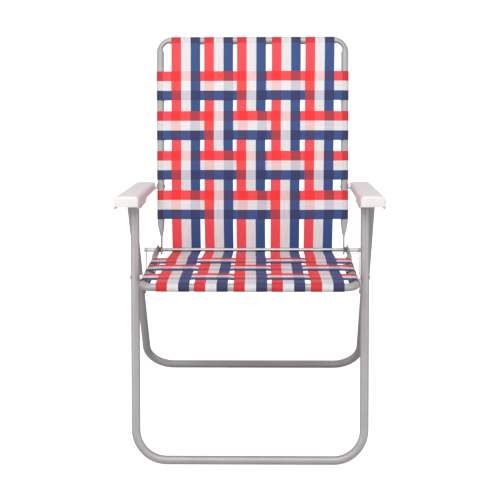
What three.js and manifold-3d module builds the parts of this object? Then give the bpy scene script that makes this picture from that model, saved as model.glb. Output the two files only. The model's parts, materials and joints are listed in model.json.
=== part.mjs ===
// Folding lawn chair with woven webbing. Millimetres, Z up, the front towards -Y.
// Origin: on the floor, under the middle of the chair's width and depth.
import * as THREE from "three";
import { mergeVertices } from "three/addons/utils/BufferGeometryUtils.js";
import Module from "manifold-3d";

const wasm = await Module();
wasm.setup();

// Tubes
const legTube = 19;
const seatTube = 17;
const tubeWall = 1.1;
const slit = 0.4;
const legRadius = legTube / 2;
const seatRadius = seatTube / 2;

// Side view: lengths between pivots, and the two slopes in degrees
const backLean = 16.74;
const seatSlope = 9.49;
const floorToSeatPivot = 400;
const armAboveSeat = 155;
const pivotSpan = 342;
const backHeight = 507;
const legSpread = 495.4;
const rearPivotSetback = 107.5;
const linkPivotDrop = 296;

// Half of the width between the middles of the back and seat tubes
const seatHalfWidth = 223.6;

// Bends of the tubes, measured to the tube's middle
const legBend = 67;
const seatBend = 29;

// Flattened ends of the back and seat tubes
const tabReach = 12;
const tabTipHalf = 7;
const backFlatEnd = 32;
const seatFlatEnd = 110;
const seatRoundStart = 150;
const flatSquareShare = 0.4;

// Webbing
const strapWidth = 69.85;
const strapThickness = 1;
const strapGap = 0.5;
const layerGap = 0.3;
const wrapTurn = 200;
const rodTurnGap = 4;
const layerLead = 4;

// Spacing of the lengthwise straps: least gap, and how far the outer ones reach onto the bends
const lengthGapLeast = 8;
const strapOntoBend = 2.925;

// Spacing of the cross straps along the side tubes
const crossGapLeast = 10;
const crossTaperGap = 1.675;
const crossBendGap = 2.075;
const crossHeadGap = 1.075;
const crossWasherGap = 3.975;
const crossAboveWasher = 9.345;
const crossBehindHead = 19.175;
const crossBeforeTaper = 12.675;
const crossBelowTop = 73.975;

// Rod, pins and their pieces
const clearance = 0.3;
const seatSpacerLength = 6.4;
const rodWasherLength = 5.3;
const rodRadius = 3.2;
const rodMiddleRadius = 4.5;
const pinRadius = 2.4;
const headRadius = 4.6;
const headHeight = 1.6;
const spacerRadius = 5.3;
const linkThickness = 1.5;
const linkHalfWidth = 6;
const linkSegments = 12;
const washerRadius = 6.5;
const capRadius = 5;
const capLength = 4.9;
const capWall = 1.5;
const tubeEndReach = 11;

// Armrest: places are measured rearward along the arm from the front leg's pivot
const armFront = 52;
const armRear = 28;
const armBeyondLegsFront = 8.9;
const armBeyondLegsRear = 6.7;
const armInsideLegsFront = 3.8;
const armInsideLegsRear = 0.3;
const armTopFront = 27;
const armTopRear = 7.5;
const armWall = 2.4;
const armCornerFront = 8;
const armCornerRear = 5;
const armNoseDepth = 10;
const noseLow = 4;
const skirtLowFront = -2;
const skirtLowRear = -8;
const skirtBehindPivot = 10.5;
const skirtStep = 16;
const thinLowFront = 1;
const thinLowRear = -9;
const bossRadius = 6;

// Fineness of round surfaces
const tubeSides = 12;
const bendSteps = 5;
const pinSides = 12;
const cornerSteps = 3;
const wrapSteps = 6;

// The stack of pieces along each pivot, from the side tube outwards
const tabHalf = tubeWall + slit / 2;
const seatOuter = seatHalfWidth + seatRadius;
const seatInner = seatHalfWidth - seatRadius;
const backTabHalfWidth = seatHalfWidth - tubeWall;
const seatTabHalfWidth = backTabHalfWidth + tabHalf + clearance + rodWasherLength + clearance + tabHalf;
const frontLegHalfWidth = seatOuter + clearance + seatSpacerLength + clearance + legRadius;
const linkInner = frontLegHalfWidth + legRadius + 2 * clearance;
const linkOuter = linkInner + linkThickness;
const rearLegHalfWidth = linkOuter + 2 * clearance + legRadius;
const armOuterFront = rearLegHalfWidth + legRadius + armBeyondLegsFront;
const armOuterRear = rearLegHalfWidth + legRadius + armBeyondLegsRear;
const armInnerFront = frontLegHalfWidth - legRadius - armInsideLegsFront;
const armInnerRear = frontLegHalfWidth - legRadius - armInsideLegsRear;
const skirtEnd = rearPivotSetback + skirtBehindPivot;

// The first cross strap of the back fits between the taper and the armrest's washer,
// and the first one of the seat between the front bend and the leg's rivet
const crossHalf = strapWidth / 2;
const backCrossFirst = armAboveSeat - washerRadius - crossWasherGap - crossHalf;
const backRoundStart = backCrossFirst - crossHalf - crossTaperGap;
const seatCrossFirst = seatBend + crossBendGap + crossHalf;
const seatOverhang = seatCrossFirst + crossHalf + crossHeadGap + headRadius;
const seatLength = pivotSpan + seatOverhang;

// Places in the side view: x is the depth from the front floor bar, y the height
const { lerp, degToRad: radians } = THREE.MathUtils;
const side = (depth, height) => new THREE.Vector2(depth, height);
const along = (from, direction, distance) => from.clone().addScaledVector(direction, distance);
const legUp = side(Math.sin(radians(backLean)), Math.cos(radians(backLean)));
const seatBack = side(Math.cos(radians(seatSlope)), -Math.sin(radians(seatSlope)));
const seatUp = side(-seatBack.y, seatBack.x);
const backFore = side(-legUp.y, legUp.x);
const frontFloorBar = side(0, legRadius);
const seatLegPivot = along(frontFloorBar, legUp, floorToSeatPivot);
const armLegPivot = along(seatLegPivot, legUp, armAboveSeat);
const rodPlace = along(seatLegPivot, seatBack, pivotSpan);
const armBackPivot = along(rodPlace, legUp, armAboveSeat);
const topBar = along(rodPlace, legUp, backHeight);
const rearLegPivot = along(armLegPivot, seatBack, rearPivotSetback);
const rearFloorBar = side(legSpread, legRadius);
const rearLegUp = rearLegPivot.clone().sub(rearFloorBar).normalize();
const linkLegPivot = along(rearLegPivot, rearLegUp, -linkPivotDrop);
const frontLegLength = floorToSeatPivot + armAboveSeat;
const rearLegLength = rearLegPivot.distanceTo(rearFloorBar);
const linkLength = linkLegPivot.distanceTo(rodPlace);
const linkUp = rodPlace.clone().sub(linkLegPivot).normalize();
const depthMiddle = (topBar.x + seatRadius + strapGap + strapThickness - legRadius) / 2;

// The space point of a side view point at a width
const place = (width, point) => new THREE.Vector3(width, point.x - depthMiddle, point.y);
const direction = (point) => new THREE.Vector3(0, point.x, point.y);
const acrossChair = new THREE.Vector3(1, 0, 0);

// Finishes
const finish = (values) => new THREE.MeshStandardMaterial(values);
const silverTube = () => finish({ color: "#b9b7b8", roughness: 0.4, metalness: 0.6 });
const steel = () => finish({ color: "#8f8f92", roughness: 0.35, metalness: 1 });
const whitePlastic = () => finish({ color: "#e9e6e6", roughness: 0.45, metalness: 0 });
const redWebbing = () => finish({ color: "#e8474f", roughness: 0.75, metalness: 0 });
const blueWebbing = () => finish({ color: "#3c4f8e", roughness: 0.75, metalness: 0 });

const chair = new THREE.Group();

function add(name, geometry, material) {
  const mesh = new THREE.Mesh(geometry, material);
  mesh.name = name;
  chair.add(mesh);
  return mesh;
}

// Joining and cutting of closed solids
function toSolid(geometry) {
  const plain = geometry.clone();
  plain.deleteAttribute("normal");
  plain.deleteAttribute("uv");
  const merged = mergeVertices(plain);
  return new wasm.Manifold(
    new wasm.Mesh({
      numProp: 3,
      vertProperties: new Float32Array(merged.attributes.position.array),
      triVerts: new Uint32Array(merged.index.array),
    }),
  );
}

function toGeometry(solid) {
  const mesh = solid.getMesh();
  const geometry = new THREE.BufferGeometry();
  geometry.setAttribute("position", new THREE.BufferAttribute(mesh.vertProperties, 3));
  geometry.setIndex(new THREE.BufferAttribute(mesh.triVerts, 1));
  return geometry;
}

// A round bar along the chair's width, between two widths, centred on a side view point
function crossBar(radius, from, to, point) {
  const geometry = new THREE.CylinderGeometry(radius, radius, to - from, pinSides);
  geometry.rotateZ(Math.PI / 2);
  const middle = place((from + to) / 2, point);
  return geometry.translate(middle.x, middle.y, middle.z);
}

// Cuts the holes that pins pass through, right across the chair
function drill(geometry, holes) {
  let solid = toSolid(geometry);
  for (const [radius, point] of holes) {
    const reach = armOuterFront + armWall;
    solid = solid.subtract(toSolid(crossBar(radius, -reach, reach, point)));
  }
  return toGeometry(solid);
}

// A skin over rings of points, closed at both ends; with a bore, the ends are open annuli
function loft(rings, bore) {
  const points = [];
  const faces = [];
  const count = rings[0].length;
  const start = (ring) => ring * count;
  rings.forEach((ring) => points.push(...ring));
  for (let ring = 0; ring + 1 < rings.length; ring++) {
    for (let i = 0; i < count; i++) {
      const next = (i + 1) % count;
      faces.push(start(ring) + i, start(ring) + next, start(ring + 1) + next);
      faces.push(start(ring) + i, start(ring + 1) + next, start(ring + 1) + i);
    }
  }
  const last = start(rings.length - 1);
  if (bore) {
    const inner = points.length;
    bore.forEach((ring) => points.push(...ring));
    for (let ring = 0; ring + 1 < bore.length; ring++) {
      for (let i = 0; i < count; i++) {
        const next = (i + 1) % count;
        const here = inner + start(ring);
        const there = inner + start(ring + 1);
        faces.push(here + i, there + next, here + next);
        faces.push(here + i, there + i, there + next);
      }
    }
    for (let i = 0; i < count; i++) {
      const next = (i + 1) % count;
      faces.push(i, inner + next, next, i, inner + i, inner + next);
      faces.push(last + i, last + next, inner + last + next);
      faces.push(last + i, inner + last + next, inner + last + i);
    }
  } else {
    for (let i = 1; i + 1 < count; i++) {
      faces.push(0, i + 1, i);
      faces.push(last, last + i, last + i + 1);
    }
  }
  const geometry = new THREE.BufferGeometry();
  const numbers = points.flatMap((point) => point.toArray());
  geometry.setAttribute("position", new THREE.Float32BufferAttribute(numbers, 3));
  geometry.setIndex(faces);
  return geometry;
}

// A cosine or sine within this of zero is taken as zero, so that its power is zero as well
const nearZero = 1e-9;

// A ring of a tube: round, or squared towards a flat tab as the squareness falls below 1
function tubeRing(centre, across, out, halfAcross, halfOut, squareness) {
  const spread = (value) => {
    const size = Math.abs(value) < nearZero ? 0 : Math.abs(value);
    return Math.sign(value) * size ** squareness;
  };
  return Array.from({ length: tubeSides }, (_, i) => {
    const turn = (2 * Math.PI * i) / tubeSides;
    return centre
      .clone()
      .addScaledVector(across, halfAcross * spread(Math.cos(turn)))
      .addScaledVector(out, halfOut * spread(Math.sin(turn)));
  });
}

// A U of tube. Its ends start at a side view point and run along a direction for a length.
// Stations describe the ends: distance from the start, half width of the U, and the tube's half sizes.
function uFrame({ start, run, length, halfWidth, bend, radius, stations }) {
  const out = direction(run).cross(acrossChair).normalize();
  const half = stations.map((s) => ({ squareness: 1, ...s, turn: 0 }));
  for (let step = 0; step <= bendSteps; step++) {
    const turn = (step / bendSteps) * (Math.PI / 2);
    half.push({
      distance: length - bend + bend * Math.sin(turn),
      width: halfWidth - bend + bend * Math.cos(turn),
      halfAcross: radius,
      halfOut: radius,
      squareness: 1,
      turn,
    });
  }
  const whole = [
    ...half.map((s) => ({ ...s, width: -s.width })),
    ...half.toReversed().map((s) => ({ ...s, turn: Math.PI - s.turn })),
  ];
  const rings = [[], []];
  for (const s of whole) {
    const straight = direction(run).multiplyScalar(Math.cos(s.turn));
    const forward = straight.addScaledVector(acrossChair, Math.sin(s.turn));
    const across = out.clone().cross(forward);
    const centre = place(s.width, along(start, run, s.distance));
    const sizes = [
      [s.halfAcross, s.halfOut],
      [s.halfAcross - tubeWall, s.halfOut - tubeWall],
    ];
    sizes.forEach(([a, o], i) => rings[i].push(tubeRing(centre, across, out, a, o, s.squareness)));
  }
  return loft(rings[0], rings[1]);
}

// The flattened end of a seat or back tube: a tab, then a taper into the round tube
function tabStations(tabWidth, flatEnd, roundStart) {
  const flatHalf = (Math.PI * (seatRadius - tabHalf)) / 2 + tabHalf;
  const flat = { width: tabWidth, halfAcross: tabHalf, squareness: flatSquareShare };
  const round = { width: seatHalfWidth, halfAcross: seatRadius, halfOut: seatRadius };
  return [
    { ...flat, distance: -tabReach, halfOut: tabTipHalf },
    { ...flat, distance: -tabTipHalf, halfOut: (tabTipHalf + flatHalf) / 2 },
    { ...flat, distance: 0, halfOut: flatHalf },
    { ...flat, distance: flatEnd, halfOut: flatHalf },
    { ...round, distance: roundStart },
  ];
}

const plainStations = (halfWidth, radius) => [
  { distance: -tubeEndReach, width: halfWidth, halfAcross: radius, halfOut: radius },
];

const pinHole = pinRadius + clearance;
const rodHole = rodRadius + clearance;

function addFrames() {
  const back = uFrame({
    start: rodPlace,
    run: legUp,
    length: backHeight,
    halfWidth: seatHalfWidth,
    bend: seatBend,
    radius: seatRadius,
    stations: tabStations(backTabHalfWidth, backFlatEnd, backRoundStart),
  });
  add("back_frame", drill(back, [[rodHole, rodPlace], [pinHole, armBackPivot]]), silverTube());

  const seat = uFrame({
    start: rodPlace,
    run: seatBack.clone().negate(),
    length: seatLength,
    halfWidth: seatHalfWidth,
    bend: seatBend,
    radius: seatRadius,
    stations: tabStations(seatTabHalfWidth, seatFlatEnd, seatRoundStart),
  });
  add("seat_frame", drill(seat, [[rodHole, rodPlace], [pinHole, seatLegPivot]]), silverTube());

  const front = uFrame({
    start: armLegPivot,
    run: legUp.clone().negate(),
    length: frontLegLength,
    halfWidth: frontLegHalfWidth,
    bend: legBend,
    radius: legRadius,
    stations: plainStations(frontLegHalfWidth, legRadius),
  });
  add("front_leg_frame", drill(front, [[pinHole, armLegPivot], [pinHole, seatLegPivot]]), silverTube());

  const rear = uFrame({
    start: rearLegPivot,
    run: rearLegUp.clone().negate(),
    length: rearLegLength,
    halfWidth: rearLegHalfWidth,
    bend: legBend,
    radius: legRadius,
    stations: plainStations(rearLegHalfWidth, legRadius),
  });
  add("rear_leg_frame", drill(rear, [[pinHole, rearLegPivot], [pinHole, linkLegPivot]]), silverTube());
}

// A turned piece about a cross axis. The profile lists [radius, width] from one end to the other.
function turned(profile, mirror, point) {
  const points = profile.map(([radius, width]) => new THREE.Vector2(radius, width));
  const geometry = new THREE.LatheGeometry(points, pinSides);
  geometry.rotateZ(-Math.PI / 2);
  if (mirror < 0) geometry.rotateY(Math.PI);
  const at = place(0, point);
  return geometry.translate(at.x, at.y, at.z);
}

const rivetHead = (seat, outward) => [
  [headRadius, seat],
  [headRadius, seat + (outward * headHeight) / 2],
  [headRadius / 2, seat + outward * headHeight],
  [0, seat + outward * headHeight],
];

// A rivet with a head at each end, between two widths
const rivet = (from, to) => [
  ...rivetHead(from, -1).toReversed(),
  [pinRadius, from],
  [pinRadius, to],
  ...rivetHead(to, 1),
];

const ringProfile = (inner, outer, from, to) => [
  [inner, from],
  [outer, from],
  [outer, to],
  [inner, to],
  [inner, from],
];

const armLength = armFront + pivotSpan + armRear;

// Values that change evenly from the arm's front to its rear
const armValue = (front, rear, distance) => lerp(front, rear, (distance + armFront) / armLength);
const armInner = (distance) => armValue(armInnerFront, armInnerRear, distance);
const armOuter = (distance) => armValue(armOuterFront, armOuterRear, distance);
const armTop = (distance) => armValue(armTopFront, armTopRear, distance);
const armCorner = (distance) => armValue(armCornerFront, armCornerRear, distance);

function addRod() {
  const tip = linkOuter + clearance + capLength - capWall - clearance;
  // The rod is thick between the back's tabs and turned down at its ends
  const shoulder = backTabHalfWidth - tabHalf - clearance;
  const rod = [
    [0, -tip],
    [rodRadius, -tip],
    [rodRadius, -shoulder],
    [rodMiddleRadius, -shoulder],
    [rodMiddleRadius, shoulder],
    [rodRadius, shoulder],
    [rodRadius, tip],
    [0, tip],
  ];
  add("cross_rod", turned(rod, 1, rodPlace), steel());
  for (const [name, mirror] of [["left", -1], ["right", 1]]) {
    const washerFrom = backTabHalfWidth + tabHalf + clearance;
    const washerTo = seatTabHalfWidth - tabHalf - clearance;
    const washer = ringProfile(rodHole, washerRadius, washerFrom, washerTo);
    add(`rod_washer_${name}`, turned(washer, mirror, rodPlace), steel());
    const spacerFrom = seatTabHalfWidth + tabHalf + clearance;
    const spacer = ringProfile(rodHole, spacerRadius, spacerFrom, linkInner - clearance);
    add(`rod_spacer_${name}`, turned(spacer, mirror, rodPlace), whitePlastic());
    const capFrom = linkOuter + clearance;
    const capFloor = capFrom + capLength - capWall;
    const cap = [
      [0, capFloor],
      [rodHole, capFloor],
      [rodHole, capFrom],
      [capRadius, capFrom],
      [capRadius, capFloor],
      [capRadius - capWall, capFrom + capLength],
      [0, capFrom + capLength],
    ];
    add(`rod_cap_${name}`, turned(cap, mirror, rodPlace), steel());
  }
}

// The flat link: a bar with round ends, with a hole at each pivot
function linkSolid(mirror) {
  const shape = new THREE.Shape();
  shape.absarc(0, 0, linkHalfWidth, Math.PI / 2, (3 * Math.PI) / 2);
  shape.absarc(linkLength, 0, linkHalfWidth, -Math.PI / 2, Math.PI / 2);
  const holes = [[0, pinHole], [linkLength, rodHole]];
  for (const [distance, radius] of holes) {
    const hole = new THREE.Path();
    hole.absarc(distance, 0, radius, 0, 2 * Math.PI, true);
    shape.holes.push(hole);
  }
  const settings = { depth: linkThickness, bevelEnabled: false, curveSegments: linkSegments };
  const geometry = new THREE.ExtrudeGeometry(shape, settings);
  const basis = new THREE.Matrix4().makeBasis(
    direction(linkUp),
    acrossChair.clone().cross(direction(linkUp)),
    acrossChair,
  );
  const from = mirror > 0 ? linkInner : -linkOuter;
  return geometry.applyMatrix4(basis.setPosition(place(from, linkLegPivot)));
}

function addLinks() {
  for (const [name, mirror] of [["left", -1], ["right", 1]]) {
    add(`leg_link_${name}`, linkSolid(mirror), steel());
    const headSeat = linkInner - clearance;
    const pin = [[pinRadius, headSeat], [pinRadius, linkOuter], [0, linkOuter]];
    const stub = [...rivetHead(headSeat, -1).toReversed(), ...pin];
    add(`link_rivet_head_${name}`, turned(stub, mirror, linkLegPivot), steel());
    const legInner = rearLegHalfWidth - legRadius + clearance;
    const legOuter = rearLegHalfWidth + legRadius + clearance;
    const tail = [[0, legInner], [pinRadius, legInner], [pinRadius, legOuter], ...rivetHead(legOuter, 1)];
    add(`link_rivet_${name}`, turned(tail, mirror, linkLegPivot), steel());
  }
}

function addRivets() {
  const frontOuter = frontLegHalfWidth + legRadius + clearance;
  const rearInner = rearLegHalfWidth - legRadius - clearance;
  for (const [name, mirror] of [["left", -1], ["right", 1]]) {
    const seatPin = rivet(seatInner - clearance, frontOuter);
    add(`seat_pivot_rivet_${name}`, turned(seatPin, mirror, seatLegPivot), steel());
    const legInner = frontLegHalfWidth - legRadius - clearance;
    const seatSpacer = ringProfile(pinHole, spacerRadius, seatOuter + clearance, legInner);
    add(`seat_spacer_${name}`, turned(seatSpacer, mirror, seatLegPivot), whitePlastic());
    const armPin = rivet(armInner(0) - clearance, frontOuter);
    add(`front_leg_rivet_${name}`, turned(armPin, mirror, armLegPivot), steel());
    const rearPin = rivet(rearInner, armOuter(rearPivotSetback) + clearance);
    add(`rear_leg_rivet_${name}`, turned(rearPin, mirror, rearLegPivot), steel());
    const backPin = rivet(seatInner - clearance, armInner(pivotSpan) + armWall + clearance);
    add(`back_arm_rivet_${name}`, turned(backPin, mirror, armBackPivot), steel());
    const washerTo = armInner(pivotSpan) - clearance;
    const armWasher = ringProfile(pinHole, washerRadius, seatOuter + clearance, washerTo);
    add(`arm_washer_${name}`, turned(armWasher, mirror, armBackPivot), whitePlastic());
  }
}

// A ring of the arm's outline: square below, two round corners above
function armRing(distance, inner, outer, low, top, corner) {
  const points = [[outer, low]];
  for (let step = 0; step <= cornerSteps; step++) {
    const turn = (step / cornerSteps) * (Math.PI / 2);
    points.push([outer - corner + corner * Math.cos(turn), top - corner + corner * Math.sin(turn)]);
  }
  for (let step = 0; step <= cornerSteps; step++) {
    const turn = (1 + step / cornerSteps) * (Math.PI / 2);
    points.push([inner + corner + corner * Math.cos(turn), top - corner + corner * Math.sin(turn)]);
  }
  points.push([inner, low]);
  const base = along(armLegPivot, seatBack, distance);
  return points.toReversed().map(([width, height]) => place(width, along(base, seatUp, height)));
}

// The arm's lower edge: a deep skirt at the front, a step, and a thin rear part
function armLow(distance) {
  const skirtShare = Math.min(1, (distance + armFront) / (armFront + skirtEnd));
  if (distance <= skirtEnd) return lerp(skirtLowFront, skirtLowRear, skirtShare);
  const thinShare = (distance - skirtEnd) / (armLength - armFront - skirtEnd);
  return lerp(thinLowFront, thinLowRear, thinShare);
}

function armSolid(mirror) {
  const rear = pivotSpan + armRear;
  const nose = armNoseDepth / 3;
  const outerPlaces = [
    [-armFront, armNoseDepth, armNoseDepth / 2, noseLow],
    [-armFront + nose, armNoseDepth / 3, nose / 2, noseLow / 2],
    [-armFront + armNoseDepth, 0, 0, armLow(-armFront)],
    [0, 0, 0, armLow(0)],
    [skirtEnd, 0, 0, armLow(skirtEnd)],
    [skirtEnd + skirtStep, 0, 0, thinLowFront],
    [pivotSpan, 0, 0, armLow(pivotSpan)],
    [rear - armNoseDepth, 0, 0, armLow(rear - armNoseDepth)],
    [rear - nose, armNoseDepth / 3, nose / 2, armLow(rear)],
    [rear, armNoseDepth, armNoseDepth / 2, armLow(rear) + nose],
  ];
  const outerRings = outerPlaces.map(([distance, inset, drop, low]) => {
    const inner = armInner(distance) + inset;
    const outer = armOuter(distance) - inset;
    return armRing(distance, inner, outer, low, armTop(distance) - drop, armCorner(distance));
  });
  const below = skirtLowRear - armTopFront;
  const cavityRings = [-armFront + armNoseDepth, rear - armNoseDepth].map((distance) =>
    armRing(
      distance,
      armInner(distance) + armWall,
      armOuter(distance) - armWall,
      below,
      armTop(distance) - armWall,
      armCorner(distance) - armWall,
    ),
  );
  let solid = toSolid(loft(outerRings));
  solid = solid.subtract(toSolid(loft(cavityRings)));
  const bossFrom = rearLegHalfWidth + legRadius + clearance;
  const bossTo = armOuter(rearPivotSetback) - armWall / 2;
  solid = solid.add(toSolid(crossBar(bossRadius, bossFrom, bossTo, rearLegPivot)));
  for (const point of [armLegPivot, armBackPivot]) {
    solid = solid.subtract(toSolid(crossBar(pinHole, 0, frontLegHalfWidth, point)));
  }
  const reach = armOuterFront + armWall;
  solid = solid.subtract(toSolid(crossBar(pinHole, rearLegHalfWidth, reach, rearLegPivot)));
  return mirror < 0 ? solid.mirror([1, 0, 0]) : solid;
}

function addArms() {
  for (const [name, mirror] of [["left", -1], ["right", 1]]) {
    add(`armrest_${name}`, toGeometry(armSolid(mirror)), whitePlastic());
  }
}

// A strip along a path of 2D points, turned into a shape of the strip's thickness
function stripShape(path) {
  const normals = path.map((point, i) => {
    const before = path[Math.max(0, i - 1)];
    const after = path[Math.min(path.length - 1, i + 1)];
    const run = after.clone().sub(before).normalize();
    return side(-run.y, run.x);
  });
  const offset = (distance) => path.map((point, i) => along(point, normals[i], distance));
  return new THREE.Shape([...offset(strapThickness / 2), ...offset(-strapThickness / 2).toReversed()]);
}

// Points on a circle about a centre, from one angle to another in degrees
function arcPoints(centre, radius, from, to) {
  return Array.from({ length: wrapSteps + 1 }, (_, i) => {
    const turn = radians(lerp(from, to, i / wrapSteps));
    return side(centre.x + radius * Math.cos(turn), centre.y + radius * Math.sin(turn));
  });
}

// Places a shape drawn in (first, second) and extruded along third
function extruded(shape, depth, origin, first, second, third) {
  const geometry = new THREE.ExtrudeGeometry(shape, { depth, bevelEnabled: false });
  return geometry.applyMatrix4(new THREE.Matrix4().makeBasis(first, second, third).setPosition(origin));
}

const wrapRadius = seatRadius + strapGap + strapThickness / 2;
const lengthLayer = wrapRadius + strapThickness + layerGap;
const rodWrapRadius = rodMiddleRadius + clearance + strapThickness / 2;
const quarterTurn = 90;

// A cross strap lies over the two side tubes and wraps round each of them
function crossStrap(start, run, up, distance) {
  const right = arcPoints(side(seatHalfWidth, 0), wrapRadius, quarterTurn, quarterTurn - wrapTurn);
  const left = right.map((point) => side(-point.x, point.y)).toReversed();
  const origin = place(0, along(start, run, distance + strapWidth / 2));
  const shape = stripShape([...left, ...right]);
  return extruded(shape, strapWidth, origin, acrossChair, direction(up), direction(run).negate());
}

// A lengthwise strap bears on the rod, rises to lie over the cross straps and wraps round the frame's bar
function lengthStrap({ run, up, length, layerStart }, width) {
  const at = (point) => along(along(rodPlace, run, point.x), up, point.y);
  const rodTurn = (quarterTurn + seatSlope - backLean) / 2 - rodTurnGap;
  const onRod = arcPoints(side(0, 0), rodWrapRadius, -quarterTurn - rodTurn, -quarterTurn);
  const onBar = arcPoints(side(length, 0), wrapRadius, quarterTurn, quarterTurn - wrapTurn);
  const flat = [side(layerStart, lengthLayer), side(length - wrapRadius - strapThickness, lengthLayer)];
  const shape = stripShape([...onRod, ...flat, ...onBar].map(at));
  const origin = place(width - strapWidth / 2, side(0, 0));
  return extruded(shape, strapWidth, origin, direction(side(1, 0)), direction(side(0, 1)), acrossChair);
}

// As many evenly spaced places as fit between two, at least a strap and a gap apart
function evenPlaces(first, last, gapLeast) {
  const steps = Math.max(0, Math.floor((last - first) / (strapWidth + gapLeast)));
  return Array.from({ length: steps + 1 }, (_, i) => lerp(first, last, i / Math.max(1, steps)));
}

function addWebbing() {
  const seatFrontBar = along(seatLegPivot, seatBack, -seatOverhang);
  const backCrossSecond = armAboveSeat + washerRadius + crossAboveWasher + crossHalf;
  const backCrossLast = backHeight - crossBelowTop - crossHalf;
  const backCrossPlaces = [backCrossFirst, ...evenPlaces(backCrossSecond, backCrossLast, crossGapLeast)];
  const seatCrossSecond = seatOverhang + headRadius + crossBehindHead + crossHalf;
  const seatCrossLast = seatLength - seatRoundStart - crossBeforeTaper - crossHalf;
  const seatCrossRear = evenPlaces(seatCrossSecond, seatCrossLast, crossGapLeast);
  const seatCrossPlaces = [...seatCrossRear.toReversed(), seatCrossFirst];
  backCrossPlaces.forEach((distance, i) => {
    add(`back_cross_strap_${i + 1}`, crossStrap(rodPlace, legUp, backFore, distance), blueWebbing());
  });
  seatCrossPlaces.forEach((distance, i) => {
    add(`seat_cross_strap_${i + 1}`, crossStrap(seatFrontBar, seatBack, seatUp, distance), blueWebbing());
  });
  const backPlane = {
    run: legUp,
    up: backFore,
    length: backHeight,
    layerStart: backCrossFirst - crossHalf - layerLead,
  };
  const seatPlane = {
    run: seatBack.clone().negate(),
    up: seatUp,
    length: seatLength,
    layerStart: seatLength - seatCrossPlaces[0] - crossHalf - layerLead,
  };
  const outerPlace = seatHalfWidth - seatBend + strapOntoBend - crossHalf;
  evenPlaces(-outerPlace, outerPlace, lengthGapLeast).forEach((width, i) => {
    add(`back_strap_${i + 1}`, lengthStrap(backPlane, width), redWebbing());
    add(`seat_strap_${i + 1}`, lengthStrap(seatPlane, width), redWebbing());
  });
}

addFrames();
addRod();
addLinks();
addRivets();
addArms();
addWebbing();

export default chair;
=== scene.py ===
import json
import math

import bmesh
import bpy
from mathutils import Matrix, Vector


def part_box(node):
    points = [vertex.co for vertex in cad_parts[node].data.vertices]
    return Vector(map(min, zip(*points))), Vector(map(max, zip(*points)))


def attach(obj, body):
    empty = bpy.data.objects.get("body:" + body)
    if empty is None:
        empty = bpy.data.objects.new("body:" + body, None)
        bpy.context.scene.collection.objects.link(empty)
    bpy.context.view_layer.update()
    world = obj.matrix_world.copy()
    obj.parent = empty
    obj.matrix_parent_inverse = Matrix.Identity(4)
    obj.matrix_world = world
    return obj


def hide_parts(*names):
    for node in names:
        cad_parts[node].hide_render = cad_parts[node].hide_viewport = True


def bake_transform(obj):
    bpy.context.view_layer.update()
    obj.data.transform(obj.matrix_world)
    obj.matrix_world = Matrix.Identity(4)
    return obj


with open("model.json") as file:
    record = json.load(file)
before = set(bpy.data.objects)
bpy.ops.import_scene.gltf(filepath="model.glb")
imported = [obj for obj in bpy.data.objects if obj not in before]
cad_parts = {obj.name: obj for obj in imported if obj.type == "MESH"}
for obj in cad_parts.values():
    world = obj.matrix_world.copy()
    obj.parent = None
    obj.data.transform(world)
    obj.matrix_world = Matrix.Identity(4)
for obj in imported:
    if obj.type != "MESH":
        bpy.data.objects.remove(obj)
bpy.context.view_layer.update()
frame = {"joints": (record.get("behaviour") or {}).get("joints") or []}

bl_info = {
    "name": "Folding Webbed Lawn Chair",
    "version": (1, 0, 0),
    "blender": (4, 5, 0),
    "location": "3D View > Sidebar > Lawn Chair",
    "description": "Dresses a folding lawn chair: lacquered tubes, moulded armrests and woven straps",
    "category": "Add Mesh",
}

MM = 0.001
SIDES = (("left", -1), ("right", 1))

ACROSS = Vector((1, 0, 0))


def joint_place(name):
    """The point of a joint's axis in the chair's middle plane."""
    place = next(j["pos_m"] for j in frame["joints"] if j["name"] == name)
    return Vector((0, place[1], place[2]))


def node_middle(name):
    low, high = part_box(name)
    return (low + high) / 2


def node_place(name):
    """A node's middle, moved sideways into the chair's middle plane."""
    middle = node_middle(name)
    return Vector((0, middle.y, middle.z))


# Places in the middle plane of the chair, and the ways of its parts, from the frame
ROD = joint_place("seat_fold")
ARM_BACK = joint_place("armrest_left_pivot")
ARM_LEG = joint_place("front_leg_pivot")
ARM_REAR = joint_place("rear_leg_pivot")
LINK_LEG = node_place("link_rivet_left")
SEAT_LEG = ROD + ARM_LEG - ARM_BACK
LEG_UP = (ARM_BACK - ROD).normalized()
SEAT_BACK = (ROD - SEAT_LEG).normalized()
REAR_UP = (ARM_REAR - LINK_LEG).normalized()
BACK_FORE = ACROSS.cross(LEG_UP)
SEAT_UP = ACROSS.cross(SEAT_BACK)


def linear(code):
    """An sRGB hex colour as linear red, green and blue."""
    parts = [int(code[i : i + 2], 16) / 255 for i in (1, 3, 5)]
    return tuple(p / 12.92 if p <= 0.04045 else ((p + 0.055) / 1.055) ** 2.4 for p in parts)


def length(name, description, millimetres):
    """A size as a property, with its default in millimetres."""
    return bpy.props.FloatProperty(
        name=name, description=description, default=millimetres * MM, precision=5, unit="LENGTH"
    )


def colour(name, description, code):
    """A colour as a property, with its default as an sRGB hex value."""
    return bpy.props.FloatVectorProperty(
        name=name, description=description, default=linear(code), subtype="COLOR", min=0, max=1
    )


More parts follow.
